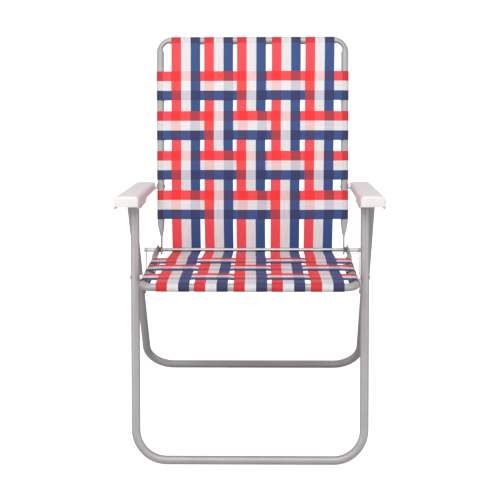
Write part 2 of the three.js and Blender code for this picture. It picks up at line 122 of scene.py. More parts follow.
class LawnChairTubes(bpy.types.PropertyGroup):
    leg_tube: length("Leg Tube", "Outer diameter of the leg tubes", 19)
    seat_tube: length("Seat Tube", "Outer diameter of the seat and back tubes", 17)
    wall: length("Wall", "Wall of every tube", 1.1)
    slit: length("Slit", "Gap left between the walls where a tube end is pressed flat", 0.4)
    leg_bend: length("Leg Bend", "Radius of the leg bends, to the tube's middle", 67)
    seat_bend: length("Seat Bend", "Radius of the seat and back bends, to the tube's middle", 29)
    pinch: length("Pinch", "How far the inner side of a tight bend is pressed outwards", 5)
    back_height: length("Back Height", "Rod to the middle of the top bar", 507)
    seat_overhang: length("Seat Overhang", "Seat pivot to the middle of the front bar", 106.6)
    tube_end: length("Tube End", "How far the leg tubes run past their upper pivots", 11)
    tab_reach: length("Tab Reach", "How far a flat end runs past the rod", 12)
    back_flat: length("Back Flat", "Length of the flat end of the back tubes, from the rod", 32)
    back_round: length("Back Round", "Where the back tubes are round again, from the rod", 73)
    seat_flat: length("Seat Flat", "Length of the flat end of the seat tubes, from the rod", 110)
    seat_round: length("Seat Round", "Where the seat tubes are round again, from the rod", 150)
    lacquer: colour("Lacquer", "Silver lacquer of the tubes", "#A8A5A7")


class LawnChairArms(bpy.types.PropertyGroup):
    front: length("Front", "Arm length in front of the front leg's pivot", 52)
    rear: length("Rear", "Arm length behind the back's pivot", 28)
    outer_front: length("Outer Front", "Half width over the arms' outer edges at the front", 288.7)
    outer_rear: length("Outer Rear", "Half width over the arms' outer edges at the rear", 286.5)
    inner_front: length("Inner Front", "Half width between the arms' inner edges at the front", 235.3)
    inner_rear: length("Inner Rear", "Half width between the arms' inner edges at the rear", 238.8)
    top_front: length("Top Front", "Height of the arm's top over the pivots at the front", 27)
    top_rear: length("Top Rear", "Height of the arm's top over the pivots at the rear", 7.5)
    corner_front: length("Corner Front", "Radius of the arm's upper long edges at the front", 8.5)
    corner_rear: length("Corner Rear", "Radius of the arm's upper long edges at the rear", 5)
    nose: length("Nose", "Radius of the arm's front edges", 5)
    tail: length("Tail", "Radius of the arm's rear edges", 9)
    wall: length("Wall", "Wall of the moulded shell", 2.4)
    crown: length("Crown", "How far the middle of the top rises", 0.7)
    skirt_end: length("Skirt End", "Length of the deep skirt behind the front leg's pivot", 118)
    skirt_step: length("Skirt Step", "Length of the curved step behind the skirt", 20)
    nose_low: length("Nose Low", "Height of the nose's lower edge over the pivots", 4)
    skirt_front: length("Skirt Front", "Height of the skirt's front edge", -2)
    skirt_rear: length("Skirt Rear", "Height of the skirt's rear edge", -8)
    thin_front: length("Thin Front", "Height of the lower edge behind the step", 1)
    thin_rear: length("Thin Rear", "Height of the lower edge at the rear", -9)
    boss: length("Boss", "Radius of the boss round the rear leg's rivet", 6)
    plastic: colour("Plastic", "White polypropylene of the arms", "#E9E3E2")


class LawnChairWebbing(bpy.types.PropertyGroup):
    width: length("Width", "Width of the webbing", 69.85)
    thickness: length("Thickness", "Thickness of the webbing", 0.7)
    lift: length("Lift", "Height of a strap's middle over the tubes' middle plane", 9.65)
    weave: length("Weave", "How far a strap passes above or below that height", 0.45)
    tube_gap: length("Tube Gap", "Air between a strap and the tube it is wrapped round", 0.12)
    tail: length("Tail", "Length of a strap's end beyond its screw", 8)
    tuck: bpy.props.FloatProperty(
        name="Tuck",
        description="How far past the tube's underside a strap's end goes to its screw",
        default=math.radians(32),
        unit="ROTATION",
    )
    rib: length("Rib", "Spacing of the ribs along the webbing", 2.3)
    pick: length("Pick", "Spacing of the cross threads", 1.6)
    wave: length("Wave", "How far a strap's edges wander sideways", 0.35)
    red: colour("Red", "Red stripe, single layer", "#F44C57")
    white: colour("White", "White stripe, single layer", "#E3E0DF")
    blue: colour("Blue", "Blue stripe, single layer", "#364F86")


class LawnChairFittings(bpy.types.PropertyGroup):
    rod: length("Rod", "Radius of the cross rod's ends", 3.2)
    rod_middle: length("Rod Middle", "Radius of the cross rod between the back's tabs", 4.5)
    rod_bevel: length("Rod Bevel", "Bevel of the rod's ends", 0.5)
    head: length("Rivet Head", "Radius of a rivet head", 4.6)
    head_height: length("Head Height", "Height of a rivet head", 1.6)
    pin: length("Rivet Pin", "Radius of a rivet's shank", 2.4)
    link_width: length("Link Width", "Half width of the flat links", 6)
    link_bevel: length("Link Bevel", "Bevel of the links' edges", 0.3)
    screw_head: length("Screw Head", "Radius of a strap screw's head", 3.6)
    screw_height: length("Screw Height", "Height of a strap screw's head", 1.9)
    zinc: colour("Zinc", "Zinc-plated steel", "#ACABAB")
    # The washers' dark colour is painted shade, for the shade between the tabs beside the rod
    dark: colour("Dark", "Dark toothed washers beside the rod", "#8A7C7C")
    sleeve: colour("Sleeve", "White nylon sleeves on the pivots", "#F6F4F6")


class LawnChairStage(bpy.types.PropertyGroup):
    # The camera's place, turn and lens were worked out from the legs, bars and straps in the photograph
    camera_place: bpy.props.FloatVectorProperty(
        name="Camera Place",
        description="Where the camera stands",
        default=(0.0515, -2.6336, 1.3269),
        subtype="TRANSLATION",
        unit="LENGTH",
    )
    camera_turn: bpy.props.FloatVectorProperty(
        name="Camera Turn",
        description="How the camera is turned",
        default=(math.radians(70.417), math.radians(0.351), math.radians(1.064)),
        subtype="EULER",
        unit="ROTATION",
    )
    lens: bpy.props.FloatProperty(
        name="Lens", description="Focal length on a 36 mm wide sensor, in millimetres", default=87.12
    )
    floor_size: length("Floor Size", "Side of the square floor", 14000)
    floor: colour("Floor", "Pale floor", "#D8D8D8")


SETTINGS = {
    "lawn_chair_tubes": LawnChairTubes,
    "lawn_chair_arms": LawnChairArms,
    "lawn_chair_webbing": LawnChairWebbing,
    "lawn_chair_fittings": LawnChairFittings,
    "lawn_chair_stage": LawnChairStage,
}


# Small tools

CLEARANCE = 0.3 * MM  # between a pin or rod and what turns on it
SOFT_EDGE = 0.5 * MM
EDGE_ANGLE = 50  # degrees, past which an edge is bevelled
SMOOTH_ANGLE = 35  # degrees, up to which neighbouring faces are shaded as one
TURNED_SIDES = 40


def connect(tree, value, socket):
    """Sets a socket, or links it to another socket or to a node's first output."""
    if isinstance(value, bpy.types.Node):
        value = value.outputs[0]
    if isinstance(value, bpy.types.NodeSocket):
        tree.links.new(value, socket)
    else:
        socket.default_value = value


def add_node(tree, kind, settings=None, inputs=None):
    """Adds a node with its settings. An input takes a value, a socket, or a node's first output."""
    made = tree.nodes.new(kind)
    for name, value in (settings or {}).items():
        setattr(made, name, value)
    for name, value in (inputs or {}).items():
        connect(tree, value, made.inputs[name])
    return made


def ease(share):
    """A smooth step from 0 to 1."""
    share = min(1.0, max(0.0, share))
    return share * share * (3 - 2 * share)


def mix(a, b, share):
    return a + (b - a) * share


def plain_mesh(name, verts, faces):
    mesh = bpy.data.meshes.new(name)
    mesh.from_pydata([tuple(v) for v in verts], [], faces)
    return mesh


def turn_outwards(mesh):
    """Turns the faces of a closed mesh outwards."""
    work = bmesh.new()
    work.from_mesh(mesh)
    bmesh.ops.recalc_face_normals(work, faces=work.faces)
    work.to_mesh(mesh)
    work.free()


def shade_smooth(mesh, sharp=SMOOTH_ANGLE):
    """Shades a mesh smooth up to an angle in degrees."""
    mesh.polygons.foreach_set("use_smooth", [True] * len(mesh.polygons))
    mesh.set_sharp_from_angle(angle=math.radians(sharp))


def linked(mesh):
    """Links a mesh to the scene as an object of the same name."""
    made = bpy.data.objects.new(mesh.name, mesh)
    bpy.context.scene.collection.objects.link(made)
    return made


def finished(mesh, material, sharp=SMOOTH_ANGLE):
    """A mesh as a smooth-shaded object of one material."""
    shade_smooth(mesh, sharp)
    mesh.materials.append(material)
    return linked(mesh)


def closed_object(name, verts, faces, material):
    mesh = plain_mesh(name, verts, faces)
    turn_outwards(mesh)
    return finished(mesh, material)


def apply_modifiers(made, sharp=SMOOTH_ANGLE):
    """Makes an object's modifiers part of its mesh, and shades the result."""
    bpy.context.view_layer.update()
    graph = bpy.context.evaluated_depsgraph_get()
    mesh = bpy.data.meshes.new_from_object(made.evaluated_get(graph))
    made.modifiers.clear()
    made.data = mesh
    shade_smooth(mesh, sharp)


def thicken(made, thickness, edge, sharp=SMOOTH_ANGLE):
    """Gives a surface its thickness behind its faces, and softens its edges."""
    wall = made.modifiers.new("Wall", "SOLIDIFY")
    wall.thickness = thickness
    wall.offset = -1
    wall.use_even_offset = True
    soft = made.modifiers.new("Edges", "BEVEL")
    soft.width = edge
    soft.segments = 2
    soft.limit_method = "ANGLE"
    soft.angle_limit = math.radians(EDGE_ANGLE)
    apply_modifiers(made, sharp)


def ring_faces(rings, size, closed):
    """Quads between neighbouring rings, and between the last and the first if they close on themselves."""
    faces = []
    for r in range(rings if closed else rings - 1):
        after = (r + 1) % rings
        for i in range(size):
            j = (i + 1) % size
            faces.append((r * size + i, r * size + j, after * size + j, after * size + i))
    return faces


def round_point(place, width, radius, turn):
    """A point at a width along a line across the chair, and at a radius and a turn round it."""
    return place + ACROSS * width + Vector((0, math.cos(turn), math.sin(turn))) * radius


def turned(name, profile, place, mirror, material):
    """A turned piece about a line across the chair, from a profile of (width, radius) in metres.

    A profile that ends where it starts makes a ring. Any other gets both its ends filled."""
    ring = profile[0] == profile[-1]
    if ring:
        profile = profile[:-1]
    verts = []
    for width, radius in profile:
        for i in range(TURNED_SIDES):
            verts.append(round_point(place, width * mirror, radius, 2 * math.pi * i / TURNED_SIDES))
    faces = ring_faces(len(profile), TURNED_SIDES, ring)
    if not ring:
        last = (len(profile) - 1) * TURNED_SIDES
        faces += [tuple(range(TURNED_SIDES)), tuple(range(last, last + TURNED_SIDES))]
    return closed_object(name, verts, faces, material)


def dress(made, body, slot, *nodes):
    """Puts a piece on its body, in place of its nodes. Its slot is not used."""
    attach(made, body)
    if nodes:
        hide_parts(*nodes)


# Measures

def flat_half(tubes):
    """Half the thickness of a tube that is pressed flat."""
    return tubes.wall + tubes.slit / 2


def side_tube_middle():
    """Half the width between the middles of the back's side tubes. The seat's are as wide apart."""
    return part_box("back_frame")[1].x - bpy.context.scene.lawn_chair_tubes.seat_tube / 2


def seat_length():
    """From the rod to the middle of the seat's front bar."""
    return (ROD - SEAT_LEG).length + bpy.context.scene.lawn_chair_tubes.seat_overhang


def ring_size(node, place):
    """A round node's inner and outer half width and its radius, from the right-hand one on that line."""
    low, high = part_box(f"{node}_right")
    return low.x, high.x, high.z - place.z


# Materials

# Most values of a noise lie between these two
NOISE_LOW = 0.3
NOISE_HIGH = 0.7


def material_of(set_up):
    """The material named for a function, which sets up its nodes when it is first asked for."""
    made = bpy.data.materials.get(set_up.__name__)
    if made is None:
        made = bpy.data.materials.new(set_up.__name__)
        made.use_nodes = True
        set_up(made.node_tree, made.node_tree.nodes["Principled BSDF"])
    return made


def grains(tree, millimetres, detail=2):
    """Noise over Object coordinates, with grains of about that size."""
    place = add_node(tree, "ShaderNodeTexCoord")
    return add_node(
        tree, "ShaderNodeTexNoise",
        inputs={"Vector": place.outputs["Object"], "Scale": 1 / (millimetres * MM), "Detail": detail},
    )


def vary(tree, shader, plain, cloud, tones, rub, roughness):
    """Lets one noise make a colour darker and lighter, and another make the surface rougher."""
    spans = []
    for noise, (low, high) in ((cloud, tones), (rub, roughness)):
        span = {"From Min": NOISE_LOW, "From Max": NOISE_HIGH, "To Min": low, "To Max": high}
        spans.append(add_node(tree, "ShaderNodeMapRange", inputs={"Value": noise, **span}))
    tone = add_node(tree, "ShaderNodeHueSaturation", inputs={"Color": plain, "Value": spans[0]})
    connect(tree, tone, shader.inputs["Base Color"])
    connect(tree, spans[1], shader.inputs["Roughness"])


def raise_grain(tree, shader, height, millimetres, strength):
    """Lets a pattern stand out of the surface by a bump of that depth."""
    relief = {"Height": height, "Distance": millimetres * MM, "Strength": strength}
    connect(tree, add_node(tree, "ShaderNodeBump", inputs=relief), shader.inputs["Normal"])


def silver_lacquer(tree, shader):
    """Silver lacquer, sprayed on drawn tube: satin metal flake with a faint orange peel."""
    plain = (*bpy.context.scene.lawn_chair_tubes.lacquer, 1)
    vary(tree, shader, plain, grains(tree, 60), (0.95, 1.04), grains(tree, 9, detail=4), (0.45, 0.54))
    raise_grain(tree, shader, grains(tree, 1.2, detail=1), 0.05, 0.25)
    shader.inputs["Metallic"].default_value = 0.26


def zinc_plated_steel(tree, shader):
    """Zinc-plated steel: bright metal, a little streaked by the plating."""
    plain = (*bpy.context.scene.lawn_chair_fittings.zinc, 1)
    streak = grains(tree, 2.5, detail=3)
    vary(tree, shader, plain, streak, (0.9, 1.08), streak, (0.42, 0.55))
    shader.inputs["Metallic"].default_value = 1.0


def washer_steel_painted_shade(tree, shader):
    """Steel of the lock washers, a little rough, painted dark as the shade that falls between the tabs beside
    them.
    """
    plain = (*bpy.context.scene.lawn_chair_fittings.dark, 1)
    stain = grains(tree, 1.5, detail=3)
    vary(tree, shader, plain, stain, (0.8, 1.15), stain, (0.4, 0.6))
    shader.inputs["Metallic"].default_value = 0.85


def moulded_nylon(tree, shader):
    """Natural nylon of the sleeves: milky white with a soft gloss."""
    plain = (*bpy.context.scene.lawn_chair_fittings.sleeve, 1)
    milk = grains(tree, 4)
    vary(tree, shader, plain, milk, (0.97, 1.02), milk, (0.36, 0.46))
    shader.inputs["IOR"].default_value = 1.53


def moulded_polypropylene(tree, shader):
    """White polypropylene of the arms: a fine spark-eroded grain with a soft sheen."""
    plain = (*bpy.context.scene.lawn_chair_arms.plastic, 1)
    cloud = grains(tree, 35)
    vary(tree, shader, plain, cloud, (0.98, 1.01), cloud, (0.38, 0.48))
    raise_grain(tree, shader, grains(tree, 0.8), 0.06, 0.35)
    shader.inputs["IOR"].default_value = 1.49


# Stripe colours of a strap, by what lies behind it: another strap's stripe, or a tube.
# Light comes through the webbing, so two layers look deeper than one: these colours are painted shade where a
# second layer blocks that light, and over a tube, where no light comes through and the strap curves round,
# deeper painted shade.
OVER_RED = ("#F83235", "#EAC6C5", "#443F65")
OVER_WHITE = ("#F64D4E", "#E8E6E6", "#3F4D85")
OVER_BLUE = ("#AC3B44", "#C9C9D2", "#323762")
OVER_TUBE = ("#D23036", "#D9D7D9", "#34375A")

STREAK_LENGTH = 70 * MM
PICK_SHARE = 0.5  # height of the cross threads beside the ribs
# Painted shade of the ribs and picks: the colour is darker in their grooves and lighter on their crests
GROOVE_SHADE_RANGE = (0.955, 1.03)


def stripes(tree, across, tones):
    """Three even stripes over the width of a strap."""
    ramp = add_node(tree, "ShaderNodeValToRGB", inputs={"Fac": across})
    ramp.color_ramp.interpolation = "CONSTANT"
    ramp.color_ramp.elements.new(2 / 3)
    for i, tone in enumerate(tones):
        ramp.color_ramp.elements[i].position = i / 3
        ramp.color_ramp.elements[i].color = (*tone, 1)
    return ramp


def yarn_wave(tree, distance, spacing):
    """A sine wave over a distance, with a crest at each spacing."""
    turn = add_node(
        tree, "ShaderNodeMath", {"operation": "MULTIPLY"}, {0: distance, 1: 2 * math.pi / spacing}
    )
    return add_node(tree, "ShaderNodeMath", {"operation": "SINE"}, {0: turn})


def woven_polypropylene_webbing(tree, shader):
    """Woven polypropylene webbing: flat glossy yarn in ribs along the strap, crossed by finer picks."""
    settings = bpy.context.scene.lawn_chair_webbing
    weave = add_node(tree, "ShaderNodeUVMap", {"uv_map": "weave"})
    behind = add_node(tree, "ShaderNodeUVMap", {"uv_map": "behind"})
    own = add_node(tree, "ShaderNodeSeparateXYZ", inputs={"Vector": weave})
    other = add_node(tree, "ShaderNodeSeparateXYZ", inputs={"Vector": behind})
    across = add_node(
        tree, "ShaderNodeMath", {"operation": "DIVIDE"}, {0: own.outputs["X"], 1: settings.width}
    )
    layers = []
    for i, codes in enumerate((OVER_RED, OVER_WHITE, OVER_BLUE)):
        above = add_node(
            tree, "ShaderNodeMath", {"operation": "GREATER_THAN"}, {0: other.outputs["X"], 1: i / 3}
        )
        below = add_node(
            tree, "ShaderNodeMath", {"operation": "LESS_THAN"}, {0: other.outputs["X"], 1: (i + 1) / 3}
        )
        between = add_node(tree, "ShaderNodeMath", {"operation": "MULTIPLY"}, {0: above, 1: below})
        layers.append((between, codes))
    tube = add_node(tree, "ShaderNodeMath", {"operation": "GREATER_THAN"}, {0: other.outputs["Y"], 1: 0.5})
    layers.append((tube, OVER_TUBE))
    tone = stripes(tree, across, (settings.red, settings.white, settings.blue)).outputs["Color"]
    # Each mask paints shade over the stripes where another strap or a tube lies behind
    for mask, codes in layers:
        darker = stripes(tree, across, [linear(code) for code in codes])
        # Sockets of the colour mix: 0 the factor, 6 and 7 the two colours, 2 the result
        tone = add_node(
            tree, "ShaderNodeMix", {"data_type": "RGBA"}, {0: mask, 6: tone, 7: darker}
        ).outputs[2]
    # Ribs and picks are drawn coarser than the real 1 mm yarns, so that they show
    ribs = yarn_wave(tree, own.outputs["X"], settings.rib)
    picks = yarn_wave(tree, own.outputs["Y"], settings.pick)
    low_picks = add_node(tree, "ShaderNodeMath", {"operation": "MULTIPLY"}, {0: picks, 1: PICK_SHARE})
    cloth = add_node(tree, "ShaderNodeMath", {"operation": "ADD"}, {0: ribs, 1: low_picks})
    # The ribs and picks also paint shade into the colour: darker in the grooves between them, lighter on
    # their crests
    span = {"From Min": -1 - PICK_SHARE, "From Max": 1 + PICK_SHARE}
    span |= {"To Min": GROOVE_SHADE_RANGE[0], "To Max": GROOVE_SHADE_RANGE[1]}
    shade = add_node(tree, "ShaderNodeMapRange", inputs={"Value": cloth, **span})
    tone = add_node(tree, "ShaderNodeHueSaturation", inputs={"Color": tone, "Value": shade})
    # Yarns differ a little in shade: streaks a rib wide that run for some centimetres
    yarns = add_node(
        tree, "ShaderNodeMapping", inputs={"Vector": weave, "Scale": (1 / settings.rib, 1 / STREAK_LENGTH, 1)}
    )
    streak = add_node(tree, "ShaderNodeTexNoise", inputs={"Vector": yarns, "Scale": 1, "Detail": 2})
    vary(tree, shader, tone, streak, (0.93, 1.06), streak, (0.5, 0.62))
    raise_grain(tree, shader, cloth, 0.12, 0.5)
    shader.inputs["IOR"].default_value = 1.49
    shader.inputs["Specular IOR Level"].default_value = 0.25


# Tubes

TUBE_SIDES = 32
BEND_STEPS = 16
TAPER_STEPS = 14
TIP_STEPS = 6
TIP_STRETCH = 1.02  # keeps the rounded tip's first ring a little open
TAPER_POWER = 1.8  # how quickly a flat end opens into the round tube
PINCH_SHARE = 0.3  # share of a bend over which its pinch comes or goes
LEVEL = 1e-6  # a rise below this is a point on the section's middle line


def tube_ring(station, out, wall):
    """One ring of a tube's section: a stadium whose inner side may be pressed outwards."""
    points = []
    for i in range(TUBE_SIDES):
        turn = 2 * math.pi * i / TUBE_SIDES
        side, rise = math.cos(turn), math.sin(turn)
        half = station["half"] - (station["pinch"] if side < 0 else 0) - wall
        lift = (station["half"] - wall) * rise
        if abs(rise) > LEVEL:
            lift += math.copysign(station["high"] - station["half"], rise)
        points.append(station["place"] + station["across"] * side * half + out * lift)
    return points


def tube_faces(path):
    """Quads along a tube whose rings' sideways direction turns over at the middle of the cross bar."""
    size = TUBE_SIDES
    faces = []
    for r in range(len(path) - 1):
        flip = path[r]["across"].dot(path[r + 1]["across"]) < 0
        for i in range(size):
            j = (i + 1) % size
            a, b = ((size // 2 - i) % size, (size // 2 - j) % size) if flip else (i, j)
            faces.append((r * size + i, r * size + j, (r + 1) * size + b, (r + 1) * size + a))
    return faces


def u_tube(name, start, run, long, half_width, bend, radius, ends, wall, pinch, material):
    """A U of tube, hollow and open at its two ends. The ends list (distance, width, half, high)."""
    out = ACROSS.cross(run)
    half_path = []
    for distance, width, half, high in ends:
        half_path.append({
            "distance": distance, "width": width, "half": half, "high": high, "turn": 0, "pinch": 0,
        })
    for step in range(BEND_STEPS + 1):
        share = step / BEND_STEPS
        turn = share * math.pi / 2
        half_path.append({
            "distance": long - bend + bend * math.sin(turn),
            "width": half_width - bend + bend * math.cos(turn),
            "half": radius, "high": radius, "turn": turn,
            "pinch": pinch * ease(share / PINCH_SHARE) * ease((1 - share) / PINCH_SHARE),
        })
    path = []
    for mirror, part in ((-1, half_path), (1, reversed(half_path))):
        for station in part:
            turn = station["turn"]
            across = ACROSS * math.cos(turn) * mirror + run * math.sin(turn)
            place = start + run * station["distance"] + ACROSS * station["width"] * mirror
            path.append({**station, "across": across, "place": place})
    verts = []
    for thickness in (0, wall):
        for station in path:
            verts += tube_ring(station, out, thickness)
    skin = tube_faces(path)
    inwards = len(path) * TUBE_SIDES
    lining = [tuple(i + inwards for i in face) for face in skin]
    rims = []
    for ring in (0, len(path) - 1):
        for i in range(TUBE_SIDES):
            a, b = ring * TUBE_SIDES + i, ring * TUBE_SIDES + (i + 1) % TUBE_SIDES
            rims.append((a, b, b + inwards, a + inwards))
    return closed_object(name, verts, skin + lining + rims, material)


def pressed_end(tubes, tab_width, round_width, flat_end, round_start):
    """Stations from a flat tab to the round tube: the wall's length stays the same all the way."""
    radius = tubes.seat_tube / 2
    thin = flat_half(tubes)
    tall = thin + math.pi / 2 * (radius - thin)
    stations = []
    for step in range(TIP_STEPS + 1):
        distance = -tubes.tab_reach * math.cos(math.pi / 2 * step / TIP_STEPS)
        tip = math.sqrt(1 - (distance / (tubes.tab_reach * TIP_STRETCH)) ** 2)
        stations.append((distance, tab_width, thin, mix(thin, tall, tip)))
    stations.append((flat_end, tab_width, thin, tall))
    for step in range(1, TAPER_STEPS + 1):
        share = step / TAPER_STEPS
        half = mix(thin, radius, 1 - (1 - share) ** TAPER_POWER)
        high = half + math.pi / 2 * (radius - half)
        width = mix(tab_width, round_width, ease(share))
        stations.append((mix(flat_end, round_start, share), width, half, high))
    return stations


class LAWNCHAIR_OT_tubes(bpy.types.Operator):
    """Bends the four lacquered tubes of the frame"""

    bl_idname = "lawn_chair.tubes"
    bl_label = "Tubes"

    def execute(self, context):
        tubes = context.scene.lawn_chair_tubes
        silver = material_of(silver_lacquer)
        # The back's tab lies inside the washer and the seat's outside it, each in the middle of its room
        washer_from, washer_to, _ = ring_size("rod_washer", ROD)
        thin = flat_half(tubes)
        gap = ring_size("rod_spacer", ROD)[0] - washer_to - 2 * thin
        half_width = side_tube_middle()
        back_tab = washer_from - gap / 2 - thin
        seat_tab = washer_to + gap / 2 + thin
        for kind, run, long, tab, flat_end, round_start in (
            ("back", LEG_UP, tubes.back_height, back_tab, tubes.back_flat, tubes.back_round),
            ("seat", -SEAT_BACK, seat_length(), seat_tab, tubes.seat_flat, tubes.seat_round),
        ):
            ends = pressed_end(tubes, tab, half_width, flat_end, round_start)
            made = u_tube(
                f"lacquered_{kind}_tube", ROD, run, long, half_width, tubes.seat_bend, tubes.seat_tube / 2,
                ends, tubes.wall, tubes.pinch, silver,
            )
            dress(made, kind, "frame_tube", f"{kind}_frame")
        radius = tubes.leg_tube / 2
        for kind, pivot, run in (("front", ARM_LEG, -LEG_UP), ("rear", ARM_REAR, -REAR_UP)):
            node = f"{kind}_leg_frame"
            half_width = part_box(node)[1].x - radius
            to_floor = (pivot.z - radius) / -run.z
            ends = [(-tubes.tube_end, half_width, radius, radius)]
            made = u_tube(
                f"lacquered_{kind}_leg_tube", pivot, run, to_floor, half_width, tubes.leg_bend, radius,
                ends, tubes.wall, 0, silver,
            )
            dress(made, f"{kind}_legs", "frame_tube", node)
        return {"FINISHED"}


# Armrests

ARM_EDGE_STEPS = 6
ARM_CORNER_STEPS = 8
TOP_STEPS = 8
SKIRT_STEPS = 9
STEP_STEPS = 8
THIN_STEPS = 12
TAIL_DROP_SHARE = 0.4  # how much the tail's top sinks as its sides draw in
ARM_SMOOTH_ANGLE = 40
BOSS_DEPTH_SHARE = 0.7  # how far a boss runs into the arm's outer wall


def arm_low(arms, distance, long):
    """The lower edge of the arm: a deep skirt, a curved step, and a thin rear part."""
    deep = mix(arms.skirt_front, arms.skirt_rear, (distance + arms.front) / (arms.front + arms.skirt_end))
    behind = (distance - arms.skirt_end) / (long - arms.front - arms.skirt_end)
    thin = mix(arms.thin_front, arms.thin_rear, behind)
    low = mix(deep, thin, ease((distance - arms.skirt_end) / arms.skirt_step))
    return mix(arms.nose_low, low, ease((distance + arms.front) / (arms.nose * 2)))


def arm_ring(arms, distance, inset, drop, long):
    """The arm's outline at a distance: up the inner wall, over the top and down the outer wall."""
    share = (distance + arms.front) / long
    inner = mix(arms.inner_front, arms.inner_rear, share) + inset
    outer = mix(arms.outer_front, arms.outer_rear, share) - inset
    top = mix(arms.top_front, arms.top_rear, share) - drop
    low = arm_low(arms, distance, long)
    corner = mix(arms.corner_front, arms.corner_rear, share)
    half_up = (low + top - corner) / 2
    turns = [math.pi / 2 * step / ARM_CORNER_STEPS for step in range(ARM_CORNER_STEPS + 1)]
    points = [(inner, low), (inner, half_up)]
    for turn in turns:
        points.append((inner + corner * (1 - math.cos(turn)), top - corner * (1 - math.sin(turn))))
    for step in range(1, TOP_STEPS):
        points.append((mix(inner + corner, outer - corner, step / TOP_STEPS), top))
    for turn in turns:
        points.append((outer - corner * (1 - math.sin(turn)), top - corner * (1 - math.cos(turn))))
    points += [(outer, half_up), (outer, low)]
    middle, half = (inner + outer) / 2, (outer - inner) / 2
    base = ARM_LEG + SEAT_BACK * distance
    ring = []
    for width, height in points:
        rise = arms.crown * (1 - ((width - middle) / half) ** 2) * ease((height - top + corner) / corner)
        ring.append(base + ACROSS * width + SEAT_UP * (height + rise - arms.crown / 2))
    return ring


def arm_stations(arms, long):
    """Stations along the arm, as (distance, inset, drop), with rounded front and rear edges."""
    turns = [math.pi / 2 * step / ARM_EDGE_STEPS for step in range(ARM_EDGE_STEPS + 1)]
    stations = []
    for turn in turns:
        inset = arms.nose * (1 - math.sin(turn))
        stations.append((-arms.front + arms.nose * (1 - math.cos(turn)), inset, inset))
    step_to, tail_from = arms.skirt_end + arms.skirt_step, long - arms.front - arms.tail
    for start, end, steps in (
        (-arms.front + arms.nose, arms.skirt_end, SKIRT_STEPS),
        (arms.skirt_end, step_to, STEP_STEPS),
        (step_to, tail_from, THIN_STEPS),
    ):
        stations += [(mix(start, end, i / steps), 0, 0) for i in range(1, steps + 1)]
    stations.pop()  # the tail's first station lies there
    for turn in turns:
        inset = arms.tail * (1 - math.cos(turn))
        stations.append((tail_from + arms.tail * math.sin(turn), inset, inset * TAIL_DROP_SHARE))
    return stations


def arm_shell(name, mirror, arms, material):
    """The arm's moulded shell, open below. The left one mirrors the right one, faces and all."""
    long = arms.front + (ARM_BACK - ARM_LEG).length + arms.rear
    rings = [arm_ring(arms, *station, long) for station in arm_stations(arms, long)]
    verts = [Vector((p.x * mirror, p.y, p.z)) for ring in rings for p in ring]
    size = len(rings[0])
    faces = []
    for r in range(len(rings) - 1):
        for i in range(size - 1):
            a, b = r * size + i, (r + 1) * size + i
            faces.append((a, a + 1, b + 1, b))
    faces += [tuple(reversed(range(size))), tuple(range(len(verts) - size, len(verts)))]
    if mirror < 0:
        faces = [(face[0], *reversed(face[1:])) for face in faces]
    made = finished(plain_mesh(name, verts, faces), material)
    thicken(made, arms.wall, SOFT_EDGE, ARM_SMOOTH_ANGLE)
    return made


class LAWNCHAIR_OT_armrests(bpy.types.Operator):
    """Moulds the two armrests as open shells"""

    bl_idname = "lawn_chair.armrests"
    bl_label = "Armrests"

    def execute(self, context):
        arms = context.scene.lawn_chair_arms
        plastic = material_of(moulded_polypropylene)
        bore = context.scene.lawn_chair_fittings.pin + CLEARANCE
        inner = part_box("rear_leg_frame")[1].x + CLEARANCE
        outer = arms.outer_rear - arms.wall * BOSS_DEPTH_SHARE
        profile = [(inner, bore), (inner, arms.boss), (outer, arms.boss), (outer, bore), (inner, bore)]
        for side, mirror in SIDES:
            arm = arm_shell(f"moulded_armrest_{side}", mirror, arms, plastic)
            boss = turned(f"armrest_boss_{side}", profile, ARM_REAR, mirror, plastic)
            dress(arm, f"armrest_{side}", "arm_plastic", f"armrest_{side}")
            dress(boss, f"armrest_{side}", "arm_plastic")
        return {"FINISHED"}


# Rod, washers, sleeves and caps

ROUND_SHARE = 0.3  # how far the middle of a rounded corner lies from each face
WASHER_TEETH = 12
TOOTH_POINTS = 4
TOOTH_DEPTH_SHARE = 0.16
TOOTH_TWIST = 0.05  # radians that each face of the washer is turned
SHOULDER_PLAY = 0.6 * MM  # between the rod's shoulder and the back's tab
ROD_TIP_SHARE = 0.5
DOME_STEPS = 8
DOME_DEPTH = 1.5 * MM
DOME_TIP_SHARE = 0.12


def softened_ring(inner, outer, start, end):
    """The profile of a ring with softened outer edges."""
    near, part = SOFT_EDGE, SOFT_EDGE * ROUND_SHARE
    return [
        (start, inner), (start, outer - near), (start + part, outer - part), (start + near, outer),
        (end - near, outer), (end - part, outer - part), (end, outer - near), (end, inner), (start, inner),
    ]


def toothed_washer(name, bore, radius, start, end, mirror, material):
    """A lock washer whose rim has teeth, each twisted a little."""
    segments = WASHER_TEETH * TOOTH_POINTS
    verts = []
    for width, reach, twist in ((start, 0, 0), (start, 1, TOOTH_TWIST), (end, 1, -TOOTH_TWIST), (end, 0, 0)):
        for i in range(segments):
            notch = TOOTH_DEPTH_SHARE if i % TOOTH_POINTS >= TOOTH_POINTS // 2 else 0
            size = mix(bore, radius * (1 - notch), reach)
            verts.append(round_point(ROD, width * mirror, size, 2 * math.pi * i / segments + twist))
    return closed_object(name, verts, ring_faces(4, segments, True), material)


def cap_profile(start, end, bore, radius):
    """The profile of a push-on cap, from the middle of its socket out to the middle of its dome."""
    floor = end - DOME_DEPTH
    profile = [(floor, DOME_TIP_SHARE * radius), (floor, bore), (start, bore), (start, radius)]
    for step in range(DOME_STEPS + 1):
        turn = math.pi / 2 * step / DOME_STEPS
        profile.append((mix(floor, end, math.sin(turn)), radius * mix(DOME_TIP_SHARE, 1, math.cos(turn))))
    return profile


